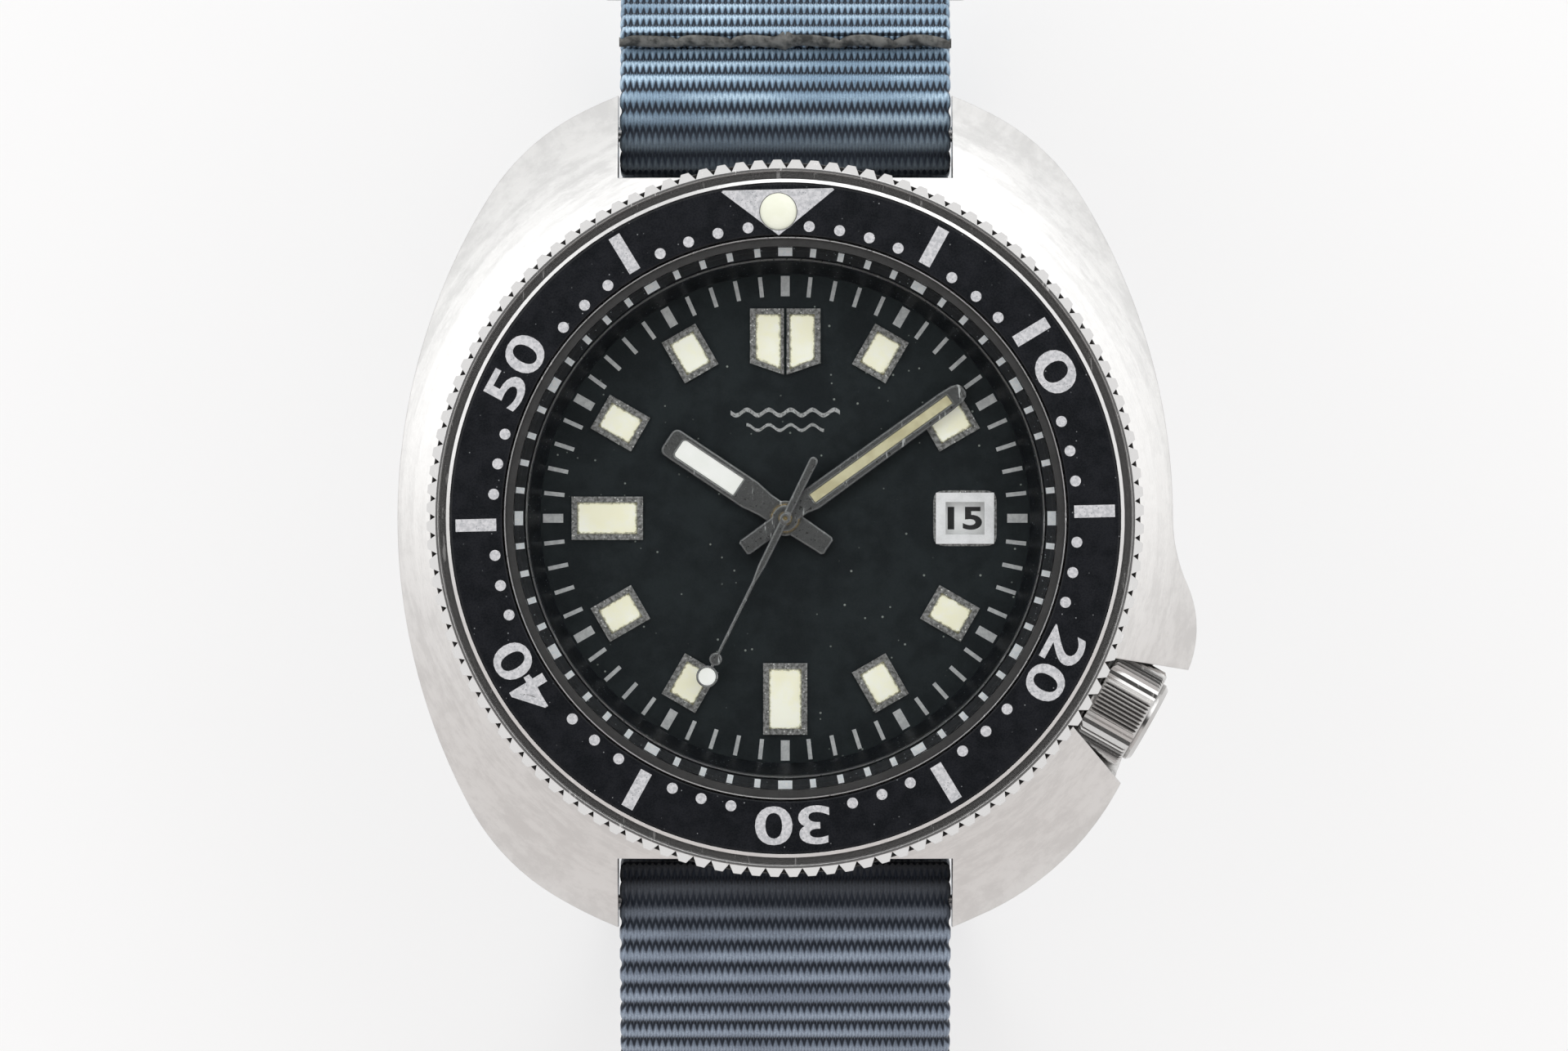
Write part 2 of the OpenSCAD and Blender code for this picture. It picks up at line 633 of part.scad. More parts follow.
module train_bridge() {
    color([0.75, 0.73, 0.68]) at_head() difference() {
        disc(movement_r, bridge_h, bridge_top_h);
        for (p = [[0, 0], barrel_at, third_at, escape_at]) at_xy(p) disc(pivot_hole_r, bridge_h + 0.2, 10);
        at_xy(balance_at) disc(balance_r + 0.4, 0, 10);
        rotate(226) translate([6, -2.4, 0]) cube([10, 4.8, 10]);
        at_xy(fork_at) disc(pivot_hole_r, bridge_h + 0.2, 10);
        stem_slot(1, bridge_top_h - 0.2, 10);
        disc(0.5, 0, bridge_h + 0.15);
    }
}
module balance_cock() {
    color([0.75, 0.73, 0.68]) at_head() intersection() {
        disc(movement_r, bridge_h, bridge_top_h);
        difference() {
            union() {
                at_xy(balance_at) disc(1.3, bridge_h, bridge_top_h);
                rotate(226) translate([6, -2.3, bridge_h]) cube([9, 4.6, 0.7]);
            }
            at_xy(balance_at) disc(pivot_hole_r, bridge_h + 0.2, 10);
        }
    }
}
function screw_places() = [for (a = [20, 110, 160, 226, 290]) 12.9 * direction(a)];
module movement_screws() {
    head_r = 0.45;
    color([0.3, 0.35, 0.6]) at_head() for (p = screw_places()) at_xy(p) difference() {
        disc(head_r, bridge_h - 0.22, bridge_h);
        slab(2 * head_r, 0.12, bridge_h - 0.23, bridge_h - 0.12);
    }
}
function jewel_places() = [third_at, escape_at, fork_at, balance_at];
module jewels() {
    lower_rise = 0.06;
    color([0.8, 0.15, 0.3]) at_head() {
        for (p = jewel_places()) at_xy(p) disc(jewel_r, plate_top_h - jewel_t, plate_top_h);
        for (p = [third_at, escape_at, balance_at]) at_xy(p) disc(jewel_r, bridge_h - lower_rise, bridge_h);
    }
}
module barrel() {
    drum_r = 4.35;
    color([0.8, 0.68, 0.4]) at_head() at_xy(barrel_at) difference() {
        union() {
            gear(barrel_teeth, barrel_module, barrel_h, 0.27, barrel_angle + 180 + 180 / barrel_teeth);
            disc(drum_r, barrel_h, plate_h - 0.08);
            disc(0.9, bridge_top_h + 0.05, barrel_h + eps);
            disc(arbor_r, bridge_h + 0.25, plate_h + 0.5);
        }
        ring(0.7, drum_r - 0.3, barrel_h + 0.12, plate_h - 0.2);
    }
}
module mainspring() {
    turns = 7;
    inner_r = 1.1;
    step = 0.42;
    color([0.5, 0.5, 0.55]) at_head() at_xy(barrel_at)
        for (i = [0:turns - 1])
            ring(inner_r + i * step, inner_r + i * step + 0.3, barrel_h + 0.14, plate_h - 0.22);
}
module centre_wheel() {
    color([0.82, 0.7, 0.4]) at_head() difference() {
        union() {
            spoked(centre_teeth, centre_module, centre_wheel_h, wheel_t, third_angle);
            gear(centre_pinion_teeth, barrel_module, centre_wheel_h + wheel_t, 0.45, barrel_angle);
            disc(centre_tube_r, centre_wheel_h, minute_hand_h + 0.25);
            gear(cannon_teeth, motion_module, motion_h, wheel_t, motion_angle);
        }
        disc(arbor_r + fit, 0, 10);
    }
}
module third_wheel() {
    color([0.82, 0.7, 0.4]) at_head() at_xy(third_at) {
        spoked(third_teeth, third_module, third_wheel_h, wheel_t, third_angle + 180);
        gear(third_pinion_teeth, centre_module, third_wheel_h + wheel_t, 0.3,
            third_angle + 180 + 180 / third_pinion_teeth);
        disc(arbor_r, bridge_h + 0.25, plate_top_h - 0.25);
    }
}
module fourth_wheel() {
    color([0.82, 0.7, 0.4]) at_head() {
        spoked(fourth_teeth, fourth_module, fourth_wheel_h, wheel_t, escape_angle);
        gear(fourth_pinion_teeth, third_module, fourth_wheel_h + wheel_t, 0.26,
            third_angle + 180 / fourth_pinion_teeth);
        disc(arbor_r, bridge_h + 0.25, 8.5);
    }
}
function club_tooth(i, teeth, r) =
    let (p = 360 / teeth, a = i * p)
    [(r * 0.74) * direction(a - p * 0.45), (r * 0.97) * direction(a - p * 0.05), r * direction(a + p * 0.1),
        (r * 0.76) * direction(a + p * 0.16)];
module escape_wheel() {
    teeth = 15;
    tip_r = 1.95;
    color([0.75, 0.75, 0.78]) at_head() at_xy(escape_at) {
        difference() {
            translate([0, 0, escape_wheel_h]) linear_extrude(0.12)
                polygon([for (i = [0:teeth - 1]) each club_tooth(i, teeth, tip_r)]);
            for (k = [0:3]) at_polar(45 + k * 90, tip_r * 0.42)
                disc(0.3, escape_wheel_h - 1, escape_wheel_h + 1);
        }
        gear(escape_pinion_teeth, fourth_module, fourth_wheel_h - 0.03, 0.22,
            escape_angle + 180 + 180 / escape_pinion_teeth);
        disc(0.12, bridge_h + 0.25, plate_top_h - 0.25);
    }
}
module pallet_fork() {
    fork_h = escape_wheel_h;
    arm_reach = 1.7;
    stone_angle = 38;
    slot_half = 0.21;
    arm_w = 0.28;
    fork_t = 0.15;
    color([0.75, 0.75, 0.78]) at_head() at_xy(fork_at) {
        disc(0.45, fork_h, fork_h + fork_t);
        disc(0.12, bridge_h + 0.25, plate_top_h - 0.25);
        difference() {
            translate([-fork_len - 0.35, -0.55, fork_h]) cube([0.9, 1.1, fork_t]);
            translate([-fork_len - 1, -slot_half, fork_h - 1]) cube([1.35, 2 * slot_half, 2]);
        }
        translate([-fork_len + 0.4, -arm_w / 2, fork_h]) cube([fork_len - 0.6, arm_w, fork_t]);
        for (s = [-1, 1]) rotate(escape_angle - 180 + s * stone_angle)
            translate([0.2, -arm_w / 2, fork_h]) cube([arm_reach - 0.2, arm_w, fork_t]);
    }
}
module balance_wheel() {
    rim_w = 0.45;
    weights = 8;
    pin_r = 0.14;
    color([0.85, 0.72, 0.42]) at_head() at_xy(balance_at) {
        ring(balance_r - rim_w, balance_r, balance_rim_h, balance_rim_h + 0.35);
        slab(2 * balance_r - rim_w, 0.35, balance_rim_h + 0.05, balance_rim_h + 0.25);
        disc(0.5, balance_rim_h - 0.1, balance_rim_h + 0.3);
        disc(0.12, bridge_h + 0.25, plate_top_h - 0.25);
        disc(pin_orbit_r + 0.25, 5.02, 5.14);
        translate([pin_orbit_r, 0, 0]) disc(pin_r, escape_wheel_h - 0.03, 5.04);
        for (i = [0:weights - 1]) at_polar(22.5 + i * 360 / weights, balance_r - rim_w / 2)
            disc(0.18, balance_rim_h - 0.05, balance_rim_h + 0.4);
    }
}
module hairspring() {
    turns = 6;
    color([0.35, 0.4, 0.6]) at_head() at_xy(balance_at) {
        for (i = [0:turns - 1]) ring(0.62 + i * 0.26, 0.68 + i * 0.26, 3.95, 4.1);
        translate([0.63, -0.05, 3.97]) cube([1.6, 0.1, 0.11]);
        translate([1.93, 0, 0]) disc(0.15, bridge_top_h, 4.1);
    }
}
module minute_wheel() {
    color([0.82, 0.7, 0.4]) at_head() at_xy(motion_at) difference() {
        union() {
            gear(minute_wheel_teeth, motion_module, motion_h, wheel_t,
                motion_angle + 180 + 180 / minute_wheel_teeth);
            gear(minute_pinion_teeth, hour_module, motion_h + wheel_t, 0.22, motion_angle + 180);
        }
        disc(0.25 + fit, 0, 10);
    }
}
module hour_wheel() {
    color([0.82, 0.7, 0.4]) at_head() difference() {
        union() {
            gear(hour_teeth, hour_module, hour_wheel_h, wheel_t, motion_angle + 180 / hour_teeth);
            disc(hour_tube_r, hour_wheel_h, hour_hand_h + 0.3);
        }
        disc(centre_tube_r + fit, 0, 10);
    }
}
module date_ring() {
    days = 31;
    inner_r = 8.9;
    color([0.92, 0.92, 0.9]) at_head() difference() {
        disc(12.2, plate_top_h + 0.08, plate_top_h + 0.3);
        translate([0, 0, plate_top_h]) linear_extrude(1) polygon([for (i = [0:days - 1]) each
            [inner_r * direction((i - 0.3) * 360 / days), (inner_r - 0.4) * direction(i * 360 / days),
                inner_r * direction((i + 0.3) * 360 / days)]]);
    }
}
module rotor() {
    rotor_r = 12.6;
    color([0.78, 0.78, 0.76]) at_head() rotate(-140) difference() {
        union() {
            intersection() {
                union() {
                    ring(10.2, rotor_r, rotor_h, rotor_h + 1.2);
                    disc(rotor_r - 1, rotor_h + 0.3, rotor_h + 0.9);
                }
                translate([-rotor_r, 0, 0]) cube([2 * rotor_r, rotor_r, 5]);
            }
            disc(3, rotor_h + 0.3, rotor_h + 0.95);
        }
        disc(1 + fit, 0, 5);
        for (a = [35, 90, 145]) at_polar(a, 7) disc(1.3, 0, 5);
    }
}
module rotor_screw() {
    color([0.7, 0.7, 0.7]) at_head() difference() {
        union() {
            disc(1, rotor_h + 0.1, bridge_h);
            disc(1.5, rotor_h, rotor_h + 0.22);
        }
        slab(3.2, 0.4, rotor_h - 1, rotor_h + 0.12);
    }
}

// ---- crown and stem ----
// Edge of the crown: groups of fine ridges with a smooth hollow after each
function crown_edge(groups, ridges, r) =
    let (pitch = 360 / groups, ridge_pitch = 4.7, ridge_span = ridge_pitch * (ridges - 0.5))
    [for (g = [0:groups - 1]) each concat(
        [for (k = [0:2 * ridges - 1]) (k % 2 == 0 ? r : r - 0.17)
            * direction(g * pitch - ridge_span / 2 + k * ridge_pitch / 2)],
        [for (k = [0.2:0.2:0.8]) (r - 0.38 * sin(180 * k))
            * direction(g * pitch + ridge_span / 2 + k * (pitch - ridge_span))])];
module crown() {
    groups = 6;
    ridges = 9;
    cap_r = 2.4;
    cap_t = 0.45;
    bevel = 0.22;
    length = crown_end - crown_start;
    ridge_end = length - cap_t;
    color([0.8, 0.8, 0.8]) at_head() on_crown_axis() translate([0, 0, crown_start]) difference() {
        union() {
            intersection() {
                rotate(180) linear_extrude(ridge_end) polygon(crown_edge(groups, ridges, crown_r));
                spun([[0, 0], [crown_r - bevel, 0], [crown_r + eps, bevel],
                    [crown_r + eps, ridge_end - bevel], [crown_r - bevel, ridge_end], [0, ridge_end]]);
            }
            spun([[0, ridge_end - eps], [cap_r, ridge_end - eps], [cap_r, length - bevel],
                [cap_r - bevel, length], [0, length]]);
        }
        translate([0, 0, -eps]) cylinder(r = tube_r + 0.45, h = length - crown_end_wall);
    }
}
module crown_gasket() {
    color([0.1, 0.1, 0.1]) at_head() on_crown_axis() translate([0, 0, crown_start + 0.6]) difference() {
        cylinder(r = tube_r + 0.4, h = 0.6);
        translate([0, 0, -1]) cylinder(r = tube_r + 0.05, h = 3);
    }
}
module winding_stem() {
    rod_start = 9.5;
    pilot_len = 1.9;
    color([0.7, 0.7, 0.7]) at_head() on_crown_axis() {
        translate([0, 0, rod_start]) cylinder(r = stem_r, h = crown_end - crown_end_wall - eps - rod_start);
        translate([0, 0, rod_start - pilot_len]) cylinder(r = 0.4, h = pilot_len + eps);
        translate([0, 0, rod_start + 1.1]) cylinder(r = 0.85, h = 1);
    }
}

// ---- strap, keepers and buckle ----
// Points along one side of the loop, offset outwards by d, between two turning angles
function side_route(side, d, a0, a1) = [for (i = [0:len(side[0]) - 1])
    let (start = i == 0 ? 0 : side[1][i - 1], end = side[1][i])
    if (a0 < end && a1 > start)
        each route_arc(arc_centre(side, i), side[0][i] + d, max(a0, start), min(a1, end))];
// Points from the top of a spring bar down between bar and case, and in under the case
function bar_route(d) = concat(
    [for (a = [0:-10:-90]) [bar_y, bar_h] + (wrap_r + d) * outward(a)],
    [for (a = [-90:15:0]) [bar_y - wrap_r - bend_r, under_case_h + bend_r] - (bend_r - d) * outward(a)]);
// The whole strap in one line, from the buckle over both bars and round to the tail's tip
function strap_route(d) = distinct(concat(
    flip(side_route(twelve_side, d, 0, buckle_turn)), bar_route(d), mirrored(flip(bar_route(d))),
    mirrored(side_route(six_side, d, 0, 90)),
    lowered(mirrored(side_route(six_side, d, 90, base_turn)), layer_gap),
    flip(side_route(twelve_side, d + layer_gap, tail_end_turn, base_turn))));
function distinct(points) =
    [for (i = [0:len(points) - 1]) if (i == 0 || norm(points[i] - points[i - 1]) > eps) points[i]];
module strap_outline() {
    end_loop_r = 1.2;
    polygon(concat(strap_route(strap_t / 2), flip(strap_route(-strap_t / 2))));
    translate(long_c + long_r * outward(buckle_turn)) circle(r = end_loop_r);
}
module strap_band() {
    color([0.45, 0.5, 0.56]) at_head() difference() {
        across(strap_w) strap_outline();
        on_strap(buckle_turn) rotate([0, 90, 0]) cylinder(r = buckle_bar_r, h = 40, center = true);
        on_strap(buckle_turn) translate([-strap_hole_w / 2, -3.2, -3]) cube([strap_hole_w, 8.5, 8]);
    }
}
buckle_bar_r = 0.6;
frame_half_w = 10.5;
rod_r = 0.75;
crossbar_y = 5.2;
crossbar_z = 2.55;
module wire_loop(half_w, half_h, r) {
    for (s = [-1, 1]) {
        translate([0, 0, s * half_h]) rotate([0, 90, 0])
            cylinder(r = r, h = 2 * half_w, center = true, $fn = 32);
        translate([s * half_w, 0, 0]) cylinder(r = r, h = 2 * half_h, center = true, $fn = 32);
    }
    for (s = [-1, 1]) for (k = [-1, 1]) translate([s * half_w, 0, k * half_h]) sphere(r = r, $fn = 32);
}
keeper_half_w = 10.25;
keeper_half_h = (strap_t + layer_gap) / 2 + 0.85;
keeper_r = 0.55;
module keeper_upper() {
    color([0.75, 0.75, 0.75]) at_head() on_strap(upper_keeper_turn, layer_gap / 2)
        wire_loop(keeper_half_w, keeper_half_h, keeper_r);
}
module keeper_lower() {
    color([0.75, 0.75, 0.75]) at_head() on_strap(lower_keeper_turn, layer_gap / 2)
        wire_loop(keeper_half_w, keeper_half_h, keeper_r);
}
module buckle_bar() {
    color([0.7, 0.7, 0.7]) at_head() on_strap(buckle_turn) rotate([0, 90, 0])
        cylinder(r = buckle_bar_r, h = 2 * frame_half_w + 1.8, center = true);
}
module buckle_frame() {
    color([0.78, 0.78, 0.78]) at_head() on_strap(buckle_turn) difference() {
        union() {
            for (s = [-1, 1]) {
                translate([s * frame_half_w, 0, 0]) rotate([0, 90, 0])
                    cylinder(r = 1.15, h = 1.3, center = true);
                frame_arm(s);
                translate([s * frame_half_w, crossbar_y, crossbar_z]) sphere(r = rod_r, $fn = 32);
            }
            translate([0, crossbar_y, crossbar_z]) rotate([0, 90, 0])
                cylinder(r = rod_r, h = 2 * frame_half_w, center = true);
        }
        rotate([0, 90, 0]) cylinder(r = buckle_bar_r + 0.06, h = 40, center = true);
    }
}
module frame_arm(s) {
    slope = atan2(crossbar_z, crossbar_y);
    translate([s * frame_half_w, 0, 0]) rotate([slope, 0, 0]) rotate([-90, 0, 0])
        cylinder(r = 0.62, h = norm([crossbar_y, crossbar_z]));
}
module buckle_tongue() {
    tongue_w = 1.3;
    eye_r = 1.05;
    rest_gap = 0.03;
    reach = 6.6;
    slope = atan2(crossbar_z, crossbar_y) + asin((rod_r + rest_gap) / norm([crossbar_y, crossbar_z]));
    color([0.78, 0.78, 0.78]) at_head() on_strap(buckle_turn) difference() {
        union() {
            rotate([0, 90, 0]) cylinder(r = eye_r, h = tongue_w, center = true);
            rotate([slope, 0, 0]) translate([-tongue_w / 2, 0, 0]) cube([tongue_w, reach, 0.7]);
        }
        rotate([0, 90, 0]) cylinder(r = buckle_bar_r + 0.06, h = 40, center = true);
    }
}

case_middle();
case_back();
case_back_gasket();
crown_tube();
spring_bars();
bezel_ring();
bezel_insert();
bezel_pip();
click_ring();
bezel_gasket();
click_balls();
click_springs();
crystal();
crystal_gasket();
crystal_ring();
chapter_ring();
dial();
marker_frames();
marker_lume();
date_frame();
hour_hand();
hour_lume();
minute_hand();
minute_lume();
seconds_hand();
seconds_lume();
movement_holder();
main_plate();
train_bridge();
balance_cock();
movement_screws();
jewels();
barrel();
mainspring();
centre_wheel();
third_wheel();
fourth_wheel();
escape_wheel();
pallet_fork();
balance_wheel();
hairspring();
minute_wheel();
hour_wheel();
date_ring();
rotor();
rotor_screw();
crown();
crown_gasket();
winding_stem();
strap_band();
keeper_upper();
keeper_lower();
buckle_bar();
buckle_frame();
buckle_tongue();
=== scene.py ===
"""Dive watch: camera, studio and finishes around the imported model, and the fine pieces that it lacks."""
import logging
import math
from dataclasses import dataclass, field
from enum import Enum
from typing import Callable, Sequence

import bpy
import numpy as np
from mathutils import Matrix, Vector


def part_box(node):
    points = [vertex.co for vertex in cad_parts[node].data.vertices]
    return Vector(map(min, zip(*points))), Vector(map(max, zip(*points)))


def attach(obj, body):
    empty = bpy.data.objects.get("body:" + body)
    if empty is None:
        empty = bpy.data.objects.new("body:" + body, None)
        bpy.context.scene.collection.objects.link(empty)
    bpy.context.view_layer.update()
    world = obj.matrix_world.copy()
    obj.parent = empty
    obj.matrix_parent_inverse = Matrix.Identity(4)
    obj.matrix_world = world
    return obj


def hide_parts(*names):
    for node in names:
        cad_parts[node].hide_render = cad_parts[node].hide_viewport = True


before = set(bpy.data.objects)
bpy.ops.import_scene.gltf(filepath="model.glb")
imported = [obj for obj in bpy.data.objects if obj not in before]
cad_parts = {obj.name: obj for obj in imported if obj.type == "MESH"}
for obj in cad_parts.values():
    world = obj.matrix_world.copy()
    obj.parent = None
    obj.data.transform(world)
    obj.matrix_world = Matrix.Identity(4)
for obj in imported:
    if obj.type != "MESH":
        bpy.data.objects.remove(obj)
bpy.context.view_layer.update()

MM = 0.001
TURN = 2 * math.pi
log = logging.getLogger("dive_watch")
Colour = tuple[float, float, float]
Mesh = tuple[np.ndarray, list[tuple[int, ...]]]
Socket = bpy.types.NodeSocket
Material = bpy.types.Material


# ---- mesh helpers ----


def loft(loops: np.ndarray, ring: bool = False) -> Mesh:
    """Skin a stack of closed loops with quads: face (i, j) joins loops i and i+1 between points j and j+1.

    Args:
        loops: array of shape (loops, points, 3), each loop closed on itself.
        ring: join the last loop to the first, for a shape closed both ways, instead of closing
            both ends with a fan to the end loop's mean point.

    Returns:
        The vertices and the faces.
    """
    rows, cols = loops.shape[:2]
    index = np.arange(rows * cols).reshape(rows, cols)
    low = index if ring else index[:-1]
    high = np.roll(index, -1, 0) if ring else index[1:]
    quads = np.stack([low, np.roll(low, -1, 1), np.roll(high, -1, 1), high], -1).reshape(-1, 4)
    verts, faces = loops.reshape(-1, 3), [tuple(q) for q in quads.tolist()]
    if not ring:
        verts = np.vstack([verts, loops[0].mean(0), loops[-1].mean(0)])
        start, end = rows * cols, rows * cols + 1
        first, last = index[0], index[-1]
        faces += [tuple(f) for f in np.stack([np.roll(first, -1), first, np.full(cols, start)], -1).tolist()]
        faces += [tuple(f) for f in np.stack([last, np.roll(last, -1), np.full(cols, end)], -1).tolist()]
    return verts, faces


def joined(parts: Sequence[Mesh]) -> Mesh:
    """Put several meshes into one, keeping each one's faces."""
    verts, faces, base = [], [], 0
    for points, polygons in parts:
        verts.append(points)
        faces += [tuple(k + base for k in f) for f in polygons]
        base += len(points)
    return np.vstack(verts), faces


def to_object(name: str, mesh: Mesh, smooth: bool = False, uv: np.ndarray | None = None) -> bpy.types.Object:
    """Make a Blender object from a mesh given in millimetres.

    Args:
        name: the piece's name.
        mesh: vertices in millimetres, and faces.
        smooth: shade the faces smooth.
        uv: one UV pair a vertex, or None.

    Returns:
        The new object, linked to the scene.
    """
    verts, faces = mesh
    data = bpy.data.meshes.new(name)
    data.from_pydata((np.asarray(verts) * MM).tolist(), [], faces)
    if uv is not None:
        layer = data.uv_layers.new(name="weave")
        loops = np.empty(len(data.loops), dtype=np.int32)
        data.loops.foreach_get("vertex_index", loops)
        layer.data.foreach_set("uv", uv[loops].astype(np.float32).ravel())
    data.polygons.foreach_set("use_smooth", [smooth] * len(data.polygons))
    data.update()
    obj = bpy.data.objects.new(name, data)
    bpy.context.scene.collection.objects.link(obj)
    return obj


def finish_piece(obj: bpy.types.Object, body: str, slot: str, material: Material) -> None:
    """Give a new piece its body and its material, and log it."""
    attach(obj, body)
    obj.data.materials.clear()
    obj.data.materials.append(material)
    log.info("%s: %d faces on %s", obj.name, len(obj.data.polygons), body)


def clock(angle: float) -> tuple[np.ndarray, np.ndarray]:
    """Unit vectors outward and clockwise at a clock angle in degrees."""
    a = math.radians(angle)
    return np.array([math.sin(a), math.cos(a)]), np.array([math.cos(a), -math.sin(a)])


def bar_outline(angle: float, near: float, far: float, width: float) -> np.ndarray:
    """Corners of a bar that lies along a clock angle, anticlockwise as seen from above."""
    out, side = clock(angle)
    half = side * width / 2
    return np.array([out * near + half, out * far + half, out * far - half, out * near - half])


def unit_circle(points: int) -> np.ndarray:
    """Points evenly around a circle of radius 1, anticlockwise."""
    a = np.arange(points) * TURN / points
    return np.column_stack([np.cos(a), np.sin(a)])


def stacked(rows: Sequence[tuple[np.ndarray, object]]) -> np.ndarray:
    """Loops for loft(): flat outlines, each with its height or a height for each point."""
    return np.stack([np.column_stack([flat, np.broadcast_to(height, len(flat))]) for flat, height in rows])


def thicken(obj: bpy.types.Object, depth: float) -> None:
    """Make a flat printed piece solid, downwards from its face."""
    thick = obj.modifiers.new("thickness", "SOLIDIFY")
    thick.thickness, thick.offset = depth * MM, -1.0


def text_mesh(text: str, height: float, stroke: float, width: float) -> Mesh:
    """Numerals as a flat mesh, centred on the origin with a set height and width.

    Args:
        text: the figures.
        height: their height in millimetres.
        stroke: how much the strokes are thickened, in millimetres, at that height.
        width: the whole text's width in millimetres.

    Returns:
        The flat mesh in the XY plane, in millimetres.
    """
    curve = bpy.data.curves.new("figures", "FONT")
    curve.body = text
    curve.resolution_u = 5
    curve.offset = stroke / height * 0.7
    obj = bpy.data.objects.new("figures", curve)
    bpy.context.scene.collection.objects.link(obj)
    data = bpy.data.meshes.new_from_object(obj.evaluated_get(bpy.context.evaluated_depsgraph_get()))
    points = np.empty(len(data.vertices) * 3)
    data.vertices.foreach_get("co", points)
    points = points.reshape(-1, 3)
    faces = [tuple(p.vertices) for p in data.polygons]
    bpy.data.objects.remove(obj)
    bpy.data.meshes.remove(data)
    low, high = points.min(0), points.max(0)
    points = (points - (low + high) / 2) * np.array([width / (high - low)[0], height / (high - low)[1], 1])
    return points, faces


def turned(mesh: Mesh, angle: float, radius: float) -> Mesh:
    """Move a flat mesh out along a clock angle, its top pointing outward."""
    out, side = clock(angle)
    points = mesh[0]
    flat = out * radius + np.outer(points[:, 0], side) + np.outer(points[:, 1], out)
    return np.column_stack([flat, points[:, 2]]), mesh[1]


# ---- materials ----


class Shader:
    """A short way to build one material's nodes."""

    def __init__(self, name: str) -> None:
        """Start a material with one Principled shader."""
        self.material = bpy.data.materials.new(name)
        self.material.use_nodes = True
        self.tree = self.material.node_tree
        self.tree.nodes.clear()
        self.out = self.tree.nodes.new("ShaderNodeOutputMaterial")
        self.base = self.tree.nodes.new("ShaderNodeBsdfPrincipled")
        self.tree.links.new(self.base.outputs[0], self.out.inputs[0])
        self.spot = self.tree.nodes.new("ShaderNodeTexCoord").outputs["Object"]

    def node(self, kind: str, inputs: dict[str | int, object] | None = None, **settings: object) -> bpy.types.Node:
        """Add a node, set its properties, and set or link its inputs.

        Args:
            kind: the node type's name without its ShaderNode prefix.
            inputs: socket name or number to a constant or an output socket.
            settings: the node's own properties.

        Returns:
            The node.
        """
        made = self.tree.nodes.new("ShaderNode" + kind)
        for key, value in settings.items():
            setattr(made, key, value)
        for key, value in (inputs or {}).items():
            self.put(made.inputs[key], value)
        return made

    def put(self, socket: Socket, value: object) -> None:
        """Link a socket to another, or set it to a constant."""
        if isinstance(value, Socket):
            self.tree.links.new(value, socket)
        elif isinstance(value, tuple) and len(value) == 3 and socket.type == "RGBA":
            socket.default_value = (*value, 1.0)
        else:
            socket.default_value = value

    def set(self, **inputs: object) -> "Shader":
        """Set or link the Principled shader's sockets, given with _ for spaces."""
        for key, value in inputs.items():
            self.put(self.base.inputs[key.replace("_", " ")], value)
        return self

    def math(self, operation: str, a: object, b: object = 0.0) -> Socket:
        """One Math node's result."""
        return self.node("Math", {0: a, 1: b}, operation=operation).outputs[0]

    def noise(self, vector: object, scale: float, detail: float = 2.0, rough: float = 0.5) -> Socket:
        """A Noise texture's value."""
        ins = {"Vector": vector, "Scale": scale, "Detail": detail, "Roughness": rough}
        return self.node("TexNoise", ins).outputs["Fac"]

    def ramp(self, value: object, low: float, high: float, to_low: float = 0.0,
             to_high: float = 1.0) -> Socket:
        """Carry a value from one range to another, smoothly and clamped."""
        ins = {"Value": value, "From Min": low, "From Max": high, "To Min": to_low, "To Max": to_high}
        return self.node("MapRange", ins, interpolation_type="SMOOTHSTEP").outputs[0]

    def mix(self, share: object, a: object, b: object) -> Socket:
        """Blend two colours."""
        return self.node("Mix", {0: share, 6: a, 7: b}, data_type="RGBA").outputs[2]

    def bump(self, height: object, distance: float, strength: float) -> Socket:
        """A Bump node's normal, for a height in units of distance metres."""
        ins = {"Height": height, "Distance": distance, "Strength": strength}
        return self.node("Bump", ins).outputs[0]

    def specks(self, scale: float, size: float) -> Socket:
        """Scattered small round specks: 1 inside a speck and 0 outside."""
        patch_share = 0.37
        cells = self.node("TexVoronoi", {"Vector": self.spot, "Scale": scale})
        keep = self.noise(self.spot, scale * patch_share, 1.0)
        near = self.ramp(cells.outputs["Distance"], size, size * 0.5)
        return self.math("MULTIPLY", near, self.ramp(keep, 0.48, 0.56))

    def around(self) -> Socket:
        """A vector for marks that run round the hands' axis: direction times stretch, and radius along Z."""
        stretch = 0.002
        flat = self.node("VectorMath", {0: self.spot, 1: (1.0, 1.0, 0.0)}, operation="MULTIPLY")
        radius = self.node("VectorMath", {0: flat.outputs[0]}, operation="LENGTH").outputs["Value"]
        heading = self.node("VectorMath", {0: flat.outputs[0]}, operation="NORMALIZE").outputs[0]
        short = self.node("VectorMath", {0: heading, "Scale": stretch}, operation="SCALE").outputs[0]
        split = self.node("SeparateXYZ", {0: short})
        height = self.node("SeparateXYZ", {0: self.spot}).outputs[2]
        depth = self.math("ADD", radius, height)
        return self.node("CombineXYZ", {0: split.outputs[0], 1: split.outputs[1], 2: depth}).outputs[0]


class Grain(Enum):
    """How a steel surface has been worked."""

    ROUND_BRUSHED = "brushed round the dial"
    LONG_BRUSHED = "brushed along its length"
    POLISHED = "polished and lightly scratched"


